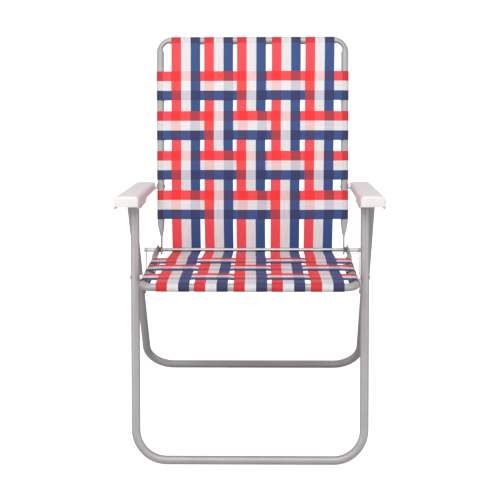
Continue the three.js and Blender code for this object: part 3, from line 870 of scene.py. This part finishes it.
class LAWNCHAIR_OT_rod(bpy.types.Operator):
    """Turns the cross rod with its washers, sleeves and end caps"""

    bl_idname = "lawn_chair.rod"
    bl_label = "Cross Rod"

    def execute(self, context):
        fittings = context.scene.lawn_chair_fittings
        zinc = material_of(zinc_plated_steel)
        washer_from, washer_to, washer_radius = ring_size("rod_washer", ROD)
        sleeve_from, sleeve_to, sleeve_radius = ring_size("rod_spacer", ROD)
        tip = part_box("cross_rod")[1].x
        shoulder = washer_from - 2 * flat_half(context.scene.lawn_chair_tubes) - SHOULDER_PLAY
        thick, slim, bevel = fittings.rod_middle, fittings.rod, fittings.rod_bevel
        half = [
            (shoulder - bevel, thick), (shoulder, thick - bevel), (shoulder, slim),
            (tip - bevel, slim), (tip, slim - bevel), (tip, slim * ROD_TIP_SHARE),
        ]
        profile = [(-width, radius) for width, radius in reversed(half)] + half
        rod = turned("bright_cross_rod", profile, ROD, 1, zinc)
        dress(rod, "back", "steel_fittings", "cross_rod")
        bore = fittings.rod + CLEARANCE
        ring = softened_ring(bore, sleeve_radius, sleeve_from, sleeve_to)
        cap_from, cap_to, cap_radius = ring_size("rod_cap", ROD)
        dome = cap_profile(cap_from, cap_to, bore, cap_radius)
        for side, mirror in SIDES:
            washer = toothed_washer(
                f"lock_washer_{side}", bore, washer_radius, washer_from, washer_to, mirror,
                material_of(washer_steel_painted_shade),
            )
            dress(washer, "back", "steel_fittings", f"rod_washer_{side}")
            sleeve = turned(f"nylon_rod_sleeve_{side}", ring, ROD, mirror, material_of(moulded_nylon))
            dress(sleeve, "back", "arm_plastic", f"rod_spacer_{side}")
            cap = turned(f"rod_end_cap_{side}", dome, ROD, mirror, zinc)
            dress(cap, "back", "steel_fittings", f"rod_cap_{side}")
        return {"FINISHED"}


class LAWNCHAIR_OT_pivots(bpy.types.Operator):
    """Turns the sleeves of the seat pivots and the washers of the back pivots"""

    bl_idname = "lawn_chair.pivots"
    bl_label = "Pivot Sleeves"

    def execute(self, context):
        bore = context.scene.lawn_chair_fittings.pin + CLEARANCE
        for side, mirror in SIDES:
            for node, place, body, label in (
                ("seat_spacer", SEAT_LEG, "seat", "nylon_seat_sleeve"),
                ("arm_washer", ARM_BACK, "back", "nylon_arm_washer"),
            ):
                start, end, radius = ring_size(node, place)
                ring = softened_ring(bore, radius, start, end)
                sleeve = turned(f"{label}_{side}", ring, place, mirror, material_of(moulded_nylon))
                dress(sleeve, body, "arm_plastic", f"{node}_{side}")
        return {"FINISHED"}


# Links

LINK_ARC_STEPS = 20


def arc_points(work, middle, radius, start=0.0, sweep=2 * math.pi):
    """Vertices on an arc in the link's own plane, as far along the link as its middle lies."""
    made = []
    for i in range(LINK_ARC_STEPS):
        turn = start + sweep * i / LINK_ARC_STEPS
        made.append(work.verts.new((middle + radius * math.cos(turn), radius * math.sin(turn), 0)))
    return made


def link_bar(name, mirror, fittings, material):
    """A flat bar with round ends and a hole at each pivot."""
    long = (ROD - LINK_LEG).length
    work = bmesh.new()
    outline = arc_points(work, 0, fittings.link_width, math.pi / 2, math.pi)
    outline += arc_points(work, long, fittings.link_width, -math.pi / 2, math.pi)
    loops = [outline]
    for middle, radius in ((0, fittings.pin), (long, fittings.rod)):
        loops.append(arc_points(work, middle, radius + CLEARANCE))
    edges = []
    for loop in loops:
        for i, vert in enumerate(loop):
            edges.append(work.edges.new((vert, loop[(i + 1) % len(loop)])))
    bmesh.ops.triangle_fill(work, use_beauty=True, use_dissolve=False, edges=edges)
    inner, outer, _ = ring_size("leg_link", ROD)
    across = ACROSS * mirror
    along = (ROD - LINK_LEG).normalized()
    side = across.cross(along)
    for vert in work.verts:
        vert.co = LINK_LEG + across * inner + along * vert.co.x + side * vert.co.y
    bmesh.ops.recalc_face_normals(work, faces=work.faces)
    # The plate is thickened against its normals, so they point to the middle of the chair
    facing = sum((face.normal for face in work.faces), Vector())
    if facing.dot(across) > 0:
        bmesh.ops.reverse_faces(work, faces=work.faces)
    mesh = bpy.data.meshes.new(name)
    work.to_mesh(mesh)
    work.free()
    made = finished(mesh, material)
    thicken(made, outer - inner, fittings.link_bevel)
    return made


class LAWNCHAIR_OT_links(bpy.types.Operator):
    """Cuts the two flat links between the rod and the rear legs"""

    bl_idname = "lawn_chair.links"
    bl_label = "Leg Links"

    def execute(self, context):
        fittings = context.scene.lawn_chair_fittings
        for side, mirror in SIDES:
            link = link_bar(f"flat_leg_link_{side}", mirror, fittings, material_of(zinc_plated_steel))
            dress(link, f"leg_link_{side}", "steel_fittings", f"leg_link_{side}")
        return {"FINISHED"}


# Rivets and screws, by Geometry Nodes

DOME_REACH = 0.985  # the dome's top ring stays a little open, and its cap closes it
DOME_POWER = 2.4
PIN_SIDES = 24
RECESS_LONG = 1.1  # sizes of a screw's cross recess, as shares of its head's radius
RECESS_WIDE = 0.22

# What a point can carry for the groups
POINT_VALUES = {"axis": "FLOAT_VECTOR", "grip": "FLOAT", "near": "BOOLEAN", "far": "BOOLEAN"}


def group_with(name, values):
    """A geometry node group with a geometry in and out and a named input for each size."""
    group = bpy.data.node_groups.new(name, "GeometryNodeTree")
    group.interface.new_socket("Geometry", in_out="INPUT", socket_type="NodeSocketGeometry")
    for label, value in values.items():
        socket = group.interface.new_socket(label, in_out="INPUT", socket_type="NodeSocketFloat")
        socket.default_value = value
    group.interface.new_socket("Geometry", in_out="OUTPUT", socket_type="NodeSocketGeometry")
    return group, add_node(group, "NodeGroupInput").outputs


def domed_head(group, entry, steps, sides):
    """A low dome on the Z axis: a line whose radius follows a rounded, flat-topped curve."""
    top = add_node(group, "ShaderNodeCombineXYZ", inputs={"Z": entry["Head Height"]})
    line = add_node(group, "GeometryNodeCurvePrimitiveLine", inputs={"End": top})
    fine = add_node(group, "GeometryNodeResampleCurve", inputs={"Curve": line, "Count": steps})
    along = add_node(group, "GeometryNodeSplineParameter")
    width = along.outputs["Factor"]
    # Each step has the socket that takes the width so far, and the value in the other one
    for operation, socket, value in (
        ("MULTIPLY", 0, DOME_REACH),
        ("POWER", 0, DOME_POWER),
        ("SUBTRACT", 1, 1.0),
        ("SQRT", 0, 0.0),
        ("MULTIPLY", 0, entry["Head Radius"]),
    ):
        values = {socket: width, 1 - socket: value}
        width = add_node(group, "ShaderNodeMath", {"operation": operation}, values)
    circle = add_node(group, "GeometryNodeCurvePrimitiveCircle", inputs={"Resolution": sides, "Radius": 1.0})
    inputs = {"Curve": fine, "Profile Curve": circle, "Scale": width, "Fill Caps": True}
    return add_node(group, "GeometryNodeCurveToMesh", inputs=inputs)


def joined(group, parts, material):
    """Joins the parts, makes the instances real, and gives them their material at the group's output."""
    together = add_node(group, "GeometryNodeJoinGeometry")
    for part in reversed(parts):
        connect(group, part, together.inputs[0])
    real = add_node(group, "GeometryNodeRealizeInstances", inputs={0: together})
    given = add_node(group, "GeometryNodeSetMaterial", inputs={"Geometry": real, "Material": material})
    add_node(group, "NodeGroupOutput", inputs={0: given})
    return group


def rivet_group(values, material):
    """Rivets on points. Each point has an axis, a grip length, and says which heads it has."""
    group, entry = group_with("rivets", values)
    points = entry["Geometry"]
    head = domed_head(group, entry, steps=9, sides=24)
    stored = {}
    for name, kind in POINT_VALUES.items():
        stored[name] = add_node(group, "GeometryNodeInputNamedAttribute", {"data_type": kind}, {"Name": name})
    axis, grip = stored["axis"], stored["grip"]
    back, reach = (
        add_node(group, "ShaderNodeVectorMath", {"operation": "SCALE"}, {"Vector": axis, "Scale": factor})
        for factor in (-1.0, grip)
    )
    outwards, backwards = (
        add_node(group, "FunctionNodeAlignRotationToVector", {"axis": "Z"}, {"Vector": way})
        for way in (axis, back)
    )
    ends = add_node(group, "GeometryNodeSetPosition", inputs={"Geometry": points, "Offset": reach})
    pin = add_node(
        group, "GeometryNodeMeshCylinder",
        inputs={"Vertices": PIN_SIDES, "Radius": entry["Pin Radius"], "Depth": 1.0},
    )
    # The pin is 1 m long and stands on its foot, so the grip length is its scale
    upright = add_node(group, "GeometryNodeTransform", inputs={"Geometry": pin, "Translation": (0, 0, 0.5)})
    stretch = add_node(group, "ShaderNodeCombineXYZ", inputs={"X": 1.0, "Y": 1.0, "Z": grip})
    parts = []
    for inputs in (
        {"Points": points, "Selection": stored["near"], "Instance": head, "Rotation": backwards},
        {"Points": ends, "Selection": stored["far"], "Instance": head, "Rotation": outwards},
        {"Points": points, "Instance": upright, "Rotation": outwards, "Scale": stretch},
    ):
        parts.append(add_node(group, "GeometryNodeInstanceOnPoints", inputs=inputs))
    return joined(group, parts, material)


def screw_group(values, material):
    """Pan head screws on points: a dome with a cross recess, turned to each point's axis."""
    group, entry = group_with("strap_screws", values)
    height = entry["Head Height"]
    dome = domed_head(group, entry, steps=8, sides=20)
    sizes = {"Z": height}
    for name, share in (("X", RECESS_LONG), ("Y", RECESS_WIDE)):
        sizes[name] = add_node(
            group, "ShaderNodeMath", {"operation": "MULTIPLY"}, {0: entry["Head Radius"], 1: share}
        )
    size = add_node(group, "ShaderNodeCombineXYZ", inputs=sizes)
    raised = add_node(group, "ShaderNodeCombineXYZ", inputs={"Z": height})
    bar = add_node(group, "GeometryNodeMeshCube", inputs={"Size": size})
    cross = add_node(group, "GeometryNodeMeshBoolean", {"operation": "UNION", "solver": "EXACT"})
    for turn in (0, math.pi / 2):
        placed = {"Geometry": bar, "Translation": raised, "Rotation": (0, 0, turn)}
        connect(group, add_node(group, "GeometryNodeTransform", inputs=placed), cross.inputs["Mesh 2"])
    cut = add_node(
        group, "GeometryNodeMeshBoolean", {"operation": "DIFFERENCE", "solver": "EXACT"},
        {"Mesh 1": dome, "Mesh 2": cross},
    )
    axis = add_node(
        group, "GeometryNodeInputNamedAttribute", {"data_type": POINT_VALUES["axis"]}, {"Name": "axis"}
    )
    turned_out = add_node(group, "FunctionNodeAlignRotationToVector", {"axis": "Z"}, {"Vector": axis})
    screws = add_node(
        group, "GeometryNodeInstanceOnPoints",
        inputs={"Points": entry["Geometry"], "Instance": cut, "Rotation": turned_out},
    )
    return joined(group, (screws,), material)


def pieces_on_points(name, points, group, values):
    """Runs a group on points with its sizes, and keeps the result as a plain mesh."""
    mesh = plain_mesh(name, [point["place"] for point in points], [])
    for key, kind in POINT_VALUES.items():
        if key in points[0]:
            layer = mesh.attributes.new(key, kind, "POINT")
            for item, point in zip(layer.data, points):
                setattr(item, "vector" if kind == "FLOAT_VECTOR" else "value", point[key])
    made = linked(mesh)
    modifier = made.modifiers.new("Copies", "NODES")
    modifier.node_group = group
    for item in group.interface.items_tree:
        if item.item_type == "SOCKET" and item.in_out == "INPUT" and item.name in values:
            modifier[item.identifier] = values[item.name]
    apply_modifiers(made)
    return made


def rivet(node, side, mirror, near=True, far=True):
    """The point of a rivet between its heads, from the right-hand node of its kind."""
    fittings = bpy.context.scene.lawn_chair_fittings
    start, end, _ = ring_size(node, ROD)
    start += fittings.head_height if near else 0
    end -= fittings.head_height if far else 0
    place = node_place(f"{node}_{side}") + ACROSS * start * mirror
    return {"place": place, "axis": ACROSS * mirror, "grip": end - start, "near": near, "far": far}


class LAWNCHAIR_OT_rivets(bpy.types.Operator):
    """Sets the rivets of every pivot"""

    bl_idname = "lawn_chair.rivets"
    bl_label = "Rivets"

    def execute(self, context):
        fittings = context.scene.lawn_chair_fittings
        values = {"Head Radius": fittings.head, "Head Height": fittings.head_height}
        values["Pin Radius"] = fittings.pin
        group = rivet_group(values, material_of(zinc_plated_steel))

        def set_rivets(name, body, points, nodes):
            dress(pieces_on_points(name, points, group, values), body, "steel_fittings", *nodes)

        for name, body, node, near in (
            ("seat_rivets", "seat", "seat_pivot_rivet", True),
            ("back_rivets", "back", "back_arm_rivet", True),
            ("rear_leg_link_rivets", "rear_legs", "link_rivet", False),
        ):
            points = [rivet(node, side, mirror, near=near) for side, mirror in SIDES]
            set_rivets(name, body, points, [f"{node}_{side}" for side, _ in SIDES])
        for side, mirror in SIDES:
            arm_nodes = ("front_leg_rivet", "rear_leg_rivet")
            points = [rivet(node, side, mirror) for node in arm_nodes]
            nodes = [f"{node}_{side}" for node in arm_nodes]
            set_rivets(f"arm_rivets_{side}", f"armrest_{side}", points, nodes)
            stub = rivet("link_rivet_head", side, mirror, far=False)
            set_rivets(f"link_rivet_{side}_head", f"leg_link_{side}", [stub], [f"link_rivet_head_{side}"])
        return {"FINISHED"}


# Webbing

STRAP_COLUMNS = 12
STRAP_STEP = 12 * MM
WRAP_STEPS = 16
TAIL_STEPS = 3
PASS_STEPS = 6
ROD_STEPS = 10
LENGTH_COUNT = 5
CROSS_COUNTS = {"back": 4, "seat": 3}
EDGE_SHARE = 0.55  # thickness of the webbing's edges beside its middle
LONG_WANDER = 83 * MM  # a strap's edges wander in long waves, and in short ones half as far
SHORT_WANDER = 31 * MM
LEAD = 3 * MM  # from a strap's first crossing to where it leaves its straight way to the rod
BAR_FREE = 0.3  # how freely a strap's edges wander over a bar, and round a tube
WRAP_FREE = 0.2
LENGTH_PHASE = 0.7  # these set each strap's wander apart from the next one's
CROSS_PHASE = 1.3
FIRST_CROSS_PHASE = 0.4

# Hand weaving leaves the lengthwise straps a few millimetres beside their even places:
# the sideways drift in millimetres at the top bar, the rod, the middle of the seat and the front bar
DRIFTS = (
    (1.0, 1.2, 5.2, 3.8),
    (-0.7, -0.5, 2.8, 2.3),
    (-2.4, -4.6, 0.4, 3.1),
    (0.5, -3.0, -1.5, 0.8),
    (0.5, -3.1, -3.4, 0.8),
)
MIDDLE_SHARE = 0.6  # where on the way from the rod to the front bar the middle drift lies

# What lies behind a strap at a place: nothing, a tube, or a share of another strap's width and 0
NOTHING = (-1.0, 0.0)
TUBE = (-1.0, 1.0)


def drift_at(drift, seat_share, back_share):
    """The drift of a strap at a share of the way from the rod to the front bar or to the top bar."""
    top, rod, middle, front = (d * MM for d in drift)
    if back_share > 0:
        return mix(rod, top, ease(back_share))
    if seat_share < MIDDLE_SHARE:
        return mix(rod, middle, ease(seat_share / MIDDLE_SHARE))
    return mix(middle, front, ease((seat_share - MIDDLE_SHARE) / (1 - MIDDLE_SHARE)))


def row(place, before=NOTHING, after=None, free=1.0):
    """A row of a strap. What lies behind may change at it, so it has a value before and after."""
    return {"place": place, "before": before, "after": before if after is None else after, "free": free}


def set_normals(rows, across, up):
    """Gives rows normals square to the path and the width, starting on the side that up points to."""
    places = [r["place"] for r in rows]
    previous = up
    for i, r in enumerate(rows):
        tangent = places[min(i + 1, len(rows) - 1)] - places[max(i - 1, 0)]
        normal = tangent.cross(across).normalized()
        if normal.dot(previous) < 0:
            normal = -normal
        r["normal"] = normal
        previous = normal


def strap_mesh(name, rows, across, web, material, phase):
    """A woven strap along rows of places, and its length. Its edges wander by waves from the phase on."""
    half = web.thickness / 2
    total = [0.0]
    for before, after in zip(rows, rows[1:]):
        total.append(total[-1] + (after["place"] - before["place"]).length)
    columns = [i / STRAP_COLUMNS for i in range(STRAP_COLUMNS + 1)]
    verts = []
    for r, far in zip(rows, total):
        waves = math.sin(far / LONG_WANDER + phase) + math.sin(far / SHORT_WANDER + 2 * phase) / 2
        for side in (1, -1):
            for u in columns if side > 0 else reversed(columns):
                edge = EDGE_SHARE if u in (0.0, 1.0) else 1.0
                shift = across * ((u - 0.5) * web.width + web.wave * waves * r["free"])
                verts.append(r["place"] + shift + r["normal"] * half * side * edge)
    size = 2 * (STRAP_COLUMNS + 1)
    around = columns + columns[::-1]
    faces, weave, behind = [], [], []
    for r in range(len(rows) - 1):
        here, there = rows[r]["after"], rows[r + 1]["before"]
        for i in range(size):
            j = (i + 1) % size
            faces.append((r * size + i, r * size + j, (r + 1) * size + j, (r + 1) * size + i))
            for column, place, value in ((i, r, here), (j, r, here), (j, r + 1, there), (i, r + 1, there)):
                weave.append((around[column] * web.width, total[place]))
                behind.append(value)
    for r, value in ((0, rows[0]["after"]), (len(rows) - 1, rows[-1]["before"])):
        faces.append(tuple(r * size + i for i in range(size)))
        for u in around:
            weave.append((u * web.width, total[r]))
            behind.append(value)
    mesh = plain_mesh(name, verts, faces)
    for layer_name, values in (("weave", weave), ("behind", behind)):
        layer = mesh.uv_layers.new(name=layer_name)
        for item, value in zip(layer.data, values):
            item.uv = value
    turn_outwards(mesh)
    return finished(mesh, material, sharp=60), total[-1]


def webbed_frames():
    """The back and the seat: their ways along and up from the rod, their lengths and their crossings.

    The crossings are the middles of the cross straps, from the top of the back and the rear of the seat."""
    frames = []
    for kind, run, up, long in (
        ("back", LEG_UP, BACK_FORE, bpy.context.scene.lawn_chair_tubes.back_height),
        ("seat", -SEAT_BACK, SEAT_UP, seat_length()),
    ):
        middles = [node_middle(f"{kind}_cross_strap_{i + 1}") for i in range(CROSS_COUNTS[kind])]
        places = sorted(((middle - ROD).dot(run) for middle in middles), reverse=kind == "back")
        frames.append({"kind": kind, "run": run, "up": up, "long": long, "places": places})
    return frames


def strap_middles():
    return [node_middle(f"back_strap_{i + 1}").x for i in range(LENGTH_COUNT)]


def wrap_radius(web):
    """From a tube's middle to the middle of a strap that is wrapped round it."""
    return bpy.context.scene.lawn_chair_tubes.seat_tube / 2 + web.tube_gap + web.thickness / 2


def crossings(places, over, shares, web):
    """Where a strap crosses others, as (from, to, height, share, share), over and under them in turn.

    The shares say where across the other strap's width its two edges lie."""
    passes = []
    for place in places:
        height = web.lift + (web.weave if over else -web.weave)
        passes.append((place - web.width / 2, place + web.width / 2, height, *shares))
        over = not over
    return passes


def strap_end(middle, out, rise, web):
    """The end of a strap: from the tube's top round its outer side to the screw, then a straight tail."""
    made = []
    radius = wrap_radius(web)
    last = -math.pi / 2 - web.tuck
    for step in range(WRAP_STEPS + 1):
        turn = mix(math.pi / 2, last, step / WRAP_STEPS)
        made.append(middle + out * radius * math.cos(turn) + rise * radius * math.sin(turn))
    onward = out * math.sin(last) - rise * math.cos(last)
    return made + [made[-1] + onward * (web.tail * i / TAIL_STEPS) for i in range(1, TAIL_STEPS + 1)]


def woven_span(passes, to_place, start, end, tube_from):
    """Rows of a strap between two tubes, over and under the straps that it crosses.

    Start and end are (distance, height). Past the distance tube_from a tube lies behind the strap."""
    rows = []

    def add(distance, height, before=NOTHING, after=None):
        if abs(distance) > tube_from:
            before = after = TUBE
        rows.append(row(to_place(distance, height), before, after))

    def slope(here, height, there, level):
        for step in range(1, PASS_STEPS):
            share = step / PASS_STEPS
            add(mix(here, there, share), mix(height, level, ease(share)))

    here, height = start
    for near, far, level, first, last in passes:
        slope(here, height, near, level)
        add(near, level, NOTHING, (first, 0.0))
        count = max(2, round((far - near) / STRAP_STEP))
        for step in range(1, count):
            share = step / count
            add(mix(near, far, share), level, (mix(first, last, share), 0.0))
        add(far, level, (last, 0.0), NOTHING)
        here, height = far, level
    slope(here, height, *end)
    return rows


def tangent_on_rod(distance, height, radius):
    """Where a line from a point in a strap's plane touches the rod's far side, as (distance, height)."""
    slope = math.atan2(height, distance) + math.asin(radius / math.hypot(distance, height))
    return radius * math.sin(slope), -radius * math.cos(slope)


def half_strap(part, passes, web):
    """Rows of a lengthwise strap from the rod to its tail at the frame's bar, and its tangent on the rod."""
    run, up, long = part["run"], part["up"], part["long"]

    def to_place(distance, height):
        return ROD + run * distance + up * height

    rod_radius = bpy.context.scene.lawn_chair_fittings.rod_middle + CLEARANCE + web.thickness / 2
    lead, level = passes[0][0] - LEAD, passes[0][2]
    touch = tangent_on_rod(lead, level, rod_radius)
    count = max(3, round((lead - touch[0]) / STRAP_STEP))
    rows = []
    for step in range(count + 1):
        share = step / count
        rows.append(row(to_place(mix(touch[0], lead, share), mix(touch[1], level, share))))
    tube_from = long - bpy.context.scene.lawn_chair_tubes.seat_tube / 2
    rows += woven_span(passes, to_place, (lead, level), (long, wrap_radius(web)), tube_from)
    end = strap_end(ROD + run * long, run, up, web)
    rows.append(row(end[0], TUBE, TUBE, BAR_FREE))
    rows += [row(point, TUBE, TUBE, WRAP_FREE) for point in end[1:]]
    return rows, to_place(*touch)


def rod_turn(start, end):
    """Rows round the rod between the two tangents."""
    start, end = start - ROD, end - ROD
    angle = start.angle(end)
    rows = []
    for step in range(1, ROD_STEPS):
        share = step / ROD_STEPS
        arm = (start * math.sin((1 - share) * angle) + end * math.sin(share * angle)) / math.sin(angle)
        rows.append(row(ROD + arm.normalized() * start.length))
    return rows


def length_rows(number, middle, web):
    """Rows of a lengthwise strap from its tail at the top bar to its tail at the front bar."""
    back, seat = webbed_frames()
    # The first strap goes over the first cross strap of the back and of the seat, the next one under it
    over = number % 2 == 0
    back_rows, back_touch = half_strap(back, crossings(back["places"], over, (1.0, 0.0), web)[::-1], web)
    seat_rows, seat_touch = half_strap(seat, crossings(seat["places"], over, (0.0, 1.0), web), web)
    for item in back_rows:
        item["before"], item["after"] = item["after"], item["before"]
    rows = back_rows[::-1] + rod_turn(back_touch, seat_touch) + seat_rows
    set_normals(rows, ACROSS, -BACK_FORE)
    for step, item in enumerate(rows):
        reach = item["place"] - ROD
        back_share = reach.dot(back["run"]) / back["long"] if step < len(back_rows) else 0
        drift = drift_at(DRIFTS[number], reach.dot(seat["run"]) / seat["long"], back_share)
        item["place"] = item["place"] + ACROSS * (middle + drift)
    return rows


def cross_rows(part, base, across, over, web):
    """Rows of a cross strap from its left tail to its right one, in the plane of the back or seat."""
    up = part["up"]
    side = side_tube_middle()

    def to_place(width, height):
        return base + ACROSS * width + up * height

    left, right = (
        [row(point, TUBE, TUBE, WRAP_FREE) for point in strap_end(base + out * side, out, up, web)]
        for out in (-ACROSS, ACROSS)
    )
    radius = wrap_radius(web)
    tube_from = side - bpy.context.scene.lawn_chair_tubes.seat_tube / 2
    passes = crossings(strap_middles(), over, (0.0, 1.0), web)
    rows = left[::-1] + woven_span(passes, to_place, (-side, radius), (side, radius), tube_from) + right
    set_normals(rows, across, -up)
    return rows


class LAWNCHAIR_OT_webbing(bpy.types.Operator):
    """Weaves the lengthwise straps and the cross straps"""

    bl_idname = "lawn_chair.webbing"
    bl_label = "Webbing"

    def execute(self, context):
        web = context.scene.lawn_chair_webbing
        cloth = material_of(woven_polypropylene_webbing)
        for i, middle in enumerate(strap_middles()):
            rows = length_rows(i, middle, web)
            strap, long = strap_mesh(f"woven_strap_{i + 1}", rows, ACROSS, web, cloth, LENGTH_PHASE * i)
            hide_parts(f"back_strap_{i + 1}", f"seat_strap_{i + 1}")
            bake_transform(strap)
        for part in webbed_frames():
            kind, run, count = part["kind"], part["run"], len(part["places"])
            # The red stripe lies towards the top of the back and the rear of the seat
            across = -run if kind == "back" else run
            for j, place in enumerate(part["places"]):
                number = count - j if kind == "back" else j + 1
                rows = cross_rows(part, ROD + run * place, across, j % 2 == 1, web)
                phase = CROSS_PHASE * j + FIRST_CROSS_PHASE
                node = f"{kind}_cross_strap_{number}"
                strap, long = strap_mesh(f"woven_{node}", rows, across, web, cloth, phase)
                dress(strap, kind, "webbing", node)
        return {"FINISHED"}


class LAWNCHAIR_OT_screws(bpy.types.Operator):
    """Screws the strap ends to the inner, lower side of the tubes"""

    bl_idname = "lawn_chair.screws"
    bl_label = "Strap Screws"

    def execute(self, context):
        fittings = context.scene.lawn_chair_fittings
        web = context.scene.lawn_chair_webbing
        values = {"Head Radius": fittings.screw_head, "Head Height": fittings.screw_height}
        group = screw_group(values, material_of(zinc_plated_steel))
        depth = wrap_radius(web) + web.thickness / 2
        side = side_tube_middle()
        for part in webbed_frames():
            run, kind = part["run"], part["kind"]
            # Each screw has the middle of its tube there and the way from the tube's middle to its side
            bar = ROD + run * part["long"]
            spots = [(bar + ACROSS * middle, run) for middle in strap_middles()]
            for place in part["places"]:
                for out in (-ACROSS, ACROSS):
                    spots.append((ROD + run * place + out * side, out))
            points = []
            for tube, out in spots:
                inwards = -part["up"] * math.cos(web.tuck) - out * math.sin(web.tuck)
                points.append({"place": tube + inwards * depth, "axis": inwards})
            dress(pieces_on_points(f"strap_screws_{kind}", points, group, values), kind, "steel_fittings")
        return {"FINISHED"}


# Stage

LAMP_AIM = Vector((0, 0, 0.45))
# Each lamp's name, place, side in metres and power in watts
LAMPS = (
    ("key_lamp", (-0.3, -1.9, 3.1), 2.4, 85),
    ("left_lamp", (-3.4, -2.2, 0.8), 1.8, 40),
    ("right_lamp", (3.4, -2.2, 0.8), 1.8, 40),
    ("rear_lamp", (0.2, 2.6, 3.6), 2.4, 16),
)
WORLD_LIGHT = 0.2
WHITE = (1, 1, 1, 1)
FLOOR_GLOW = 0.88


def soft_lamp(name, place, side, power):
    """A square lamp that lights the chair and isn't seen itself."""
    data = bpy.data.lights.new(name, "AREA")
    data.size = side
    data.energy = power
    lamp = bpy.data.objects.new(name, data)
    bpy.context.scene.collection.objects.link(lamp)
    lamp.location = place
    lamp.rotation_euler = (LAMP_AIM - Vector(place)).to_track_quat("-Z", "Y").to_euler()
    lamp.visible_camera = False


def pale_studio_floor(tree, shader):
    """A pale floor with a glow that only the camera sees, so that it is near white in the picture."""
    shader.inputs["Roughness"].default_value = 0.9
    shader.inputs["Base Color"].default_value = (*bpy.context.scene.lawn_chair_stage.floor, 1)
    path = add_node(tree, "ShaderNodeLightPath")
    glow = add_node(tree, "ShaderNodeEmission", inputs={"Color": WHITE, "Strength": FLOOR_GLOW})
    both = add_node(tree, "ShaderNodeAddShader", inputs={0: shader, 1: glow})
    seen = add_node(
        tree, "ShaderNodeMixShader", inputs={0: path.outputs["Is Camera Ray"], 1: shader, 2: both}
    )
    connect(tree, seen, tree.nodes["Material Output"].inputs["Surface"])


def studio_world():
    """A white world for the camera, reflections and glass, that lights the chair only weakly."""
    world = bpy.data.worlds.new("soft_studio")
    world.use_nodes = True
    tree = world.node_tree
    soft = tree.nodes["Background"]
    soft.inputs["Color"].default_value = WHITE
    soft.inputs["Strength"].default_value = WORLD_LIGHT
    white = add_node(tree, "ShaderNodeBackground", inputs={"Color": WHITE, "Strength": 1.0})
    path = add_node(tree, "ShaderNodeLightPath").outputs
    seen = path["Is Camera Ray"]
    for ray in ("Is Glossy Ray", "Is Transmission Ray"):
        seen = add_node(tree, "ShaderNodeMath", {"operation": "MAXIMUM"}, {0: seen, 1: path[ray]})
    choice = add_node(tree, "ShaderNodeMixShader", inputs={0: seen, 1: soft, 2: white})
    connect(tree, choice, tree.nodes["World Output"].inputs["Surface"])
    return world


class LAWNCHAIR_OT_stage(bpy.types.Operator):
    """Lays the pale floor, hangs the soft lamps and sets the camera"""

    bl_idname = "lawn_chair.stage"
    bl_label = "Stage"

    def execute(self, context):
        stage = context.scene.lawn_chair_stage
        half = stage.floor_size / 2
        corners = [(-half, -half, 0), (half, -half, 0), (half, half, 0), (-half, half, 0)]
        floor = plain_mesh("studio_floor", corners, [(0, 1, 2, 3)])
        finished(floor, material_of(pale_studio_floor))
        context.scene.world = studio_world()
        for lamp in LAMPS:
            soft_lamp(*lamp)
        camera = bpy.data.cameras.new("photo_camera")
        camera.lens = stage.lens
        camera.sensor_width = 36
        holder = bpy.data.objects.new("photo_camera", camera)
        context.scene.collection.objects.link(holder)
        holder.location = stage.camera_place
        holder.rotation_euler = stage.camera_turn
        context.scene.camera = holder
        context.scene.view_settings.view_transform = "Standard"
        return {"FINISHED"}


OPERATORS = (
    LAWNCHAIR_OT_tubes,
    LAWNCHAIR_OT_armrests,
    LAWNCHAIR_OT_rod,
    LAWNCHAIR_OT_pivots,
    LAWNCHAIR_OT_links,
    LAWNCHAIR_OT_rivets,
    LAWNCHAIR_OT_webbing,
    LAWNCHAIR_OT_screws,
    LAWNCHAIR_OT_stage,
)


class LAWNCHAIR_PT_panel(bpy.types.Panel):
    """Lists the settings and the steps of the chair"""

    bl_idname = "LAWNCHAIR_PT_panel"
    bl_label = "Lawn Chair"
    bl_space_type = "VIEW_3D"
    bl_region_type = "UI"
    bl_category = "Lawn Chair"

    def draw(self, context):
        for name, group in SETTINGS.items():
            box = self.layout.box()
            settings = getattr(context.scene, name)
            for field in group.__annotations__:
                box.prop(settings, field)
        for operator in OPERATORS:
            self.layout.operator(operator.bl_idname)


def register():
    for group in SETTINGS.values():
        bpy.utils.register_class(group)
    for name, group in SETTINGS.items():
        setattr(bpy.types.Scene, name, bpy.props.PointerProperty(type=group))
    for item in (*OPERATORS, LAWNCHAIR_PT_panel):
        bpy.utils.register_class(item)


def unregister():
    for item in reversed((*OPERATORS, LAWNCHAIR_PT_panel)):
        bpy.utils.unregister_class(item)
    for name, group in reversed(SETTINGS.items()):
        delattr(bpy.types.Scene, name)
        bpy.utils.unregister_class(group)


def main():
    register()
    for operator in OPERATORS:
        group, name = operator.bl_idname.split(".")
        getattr(getattr(bpy.ops, group), name)()


if __name__ == "__main__":
    main()
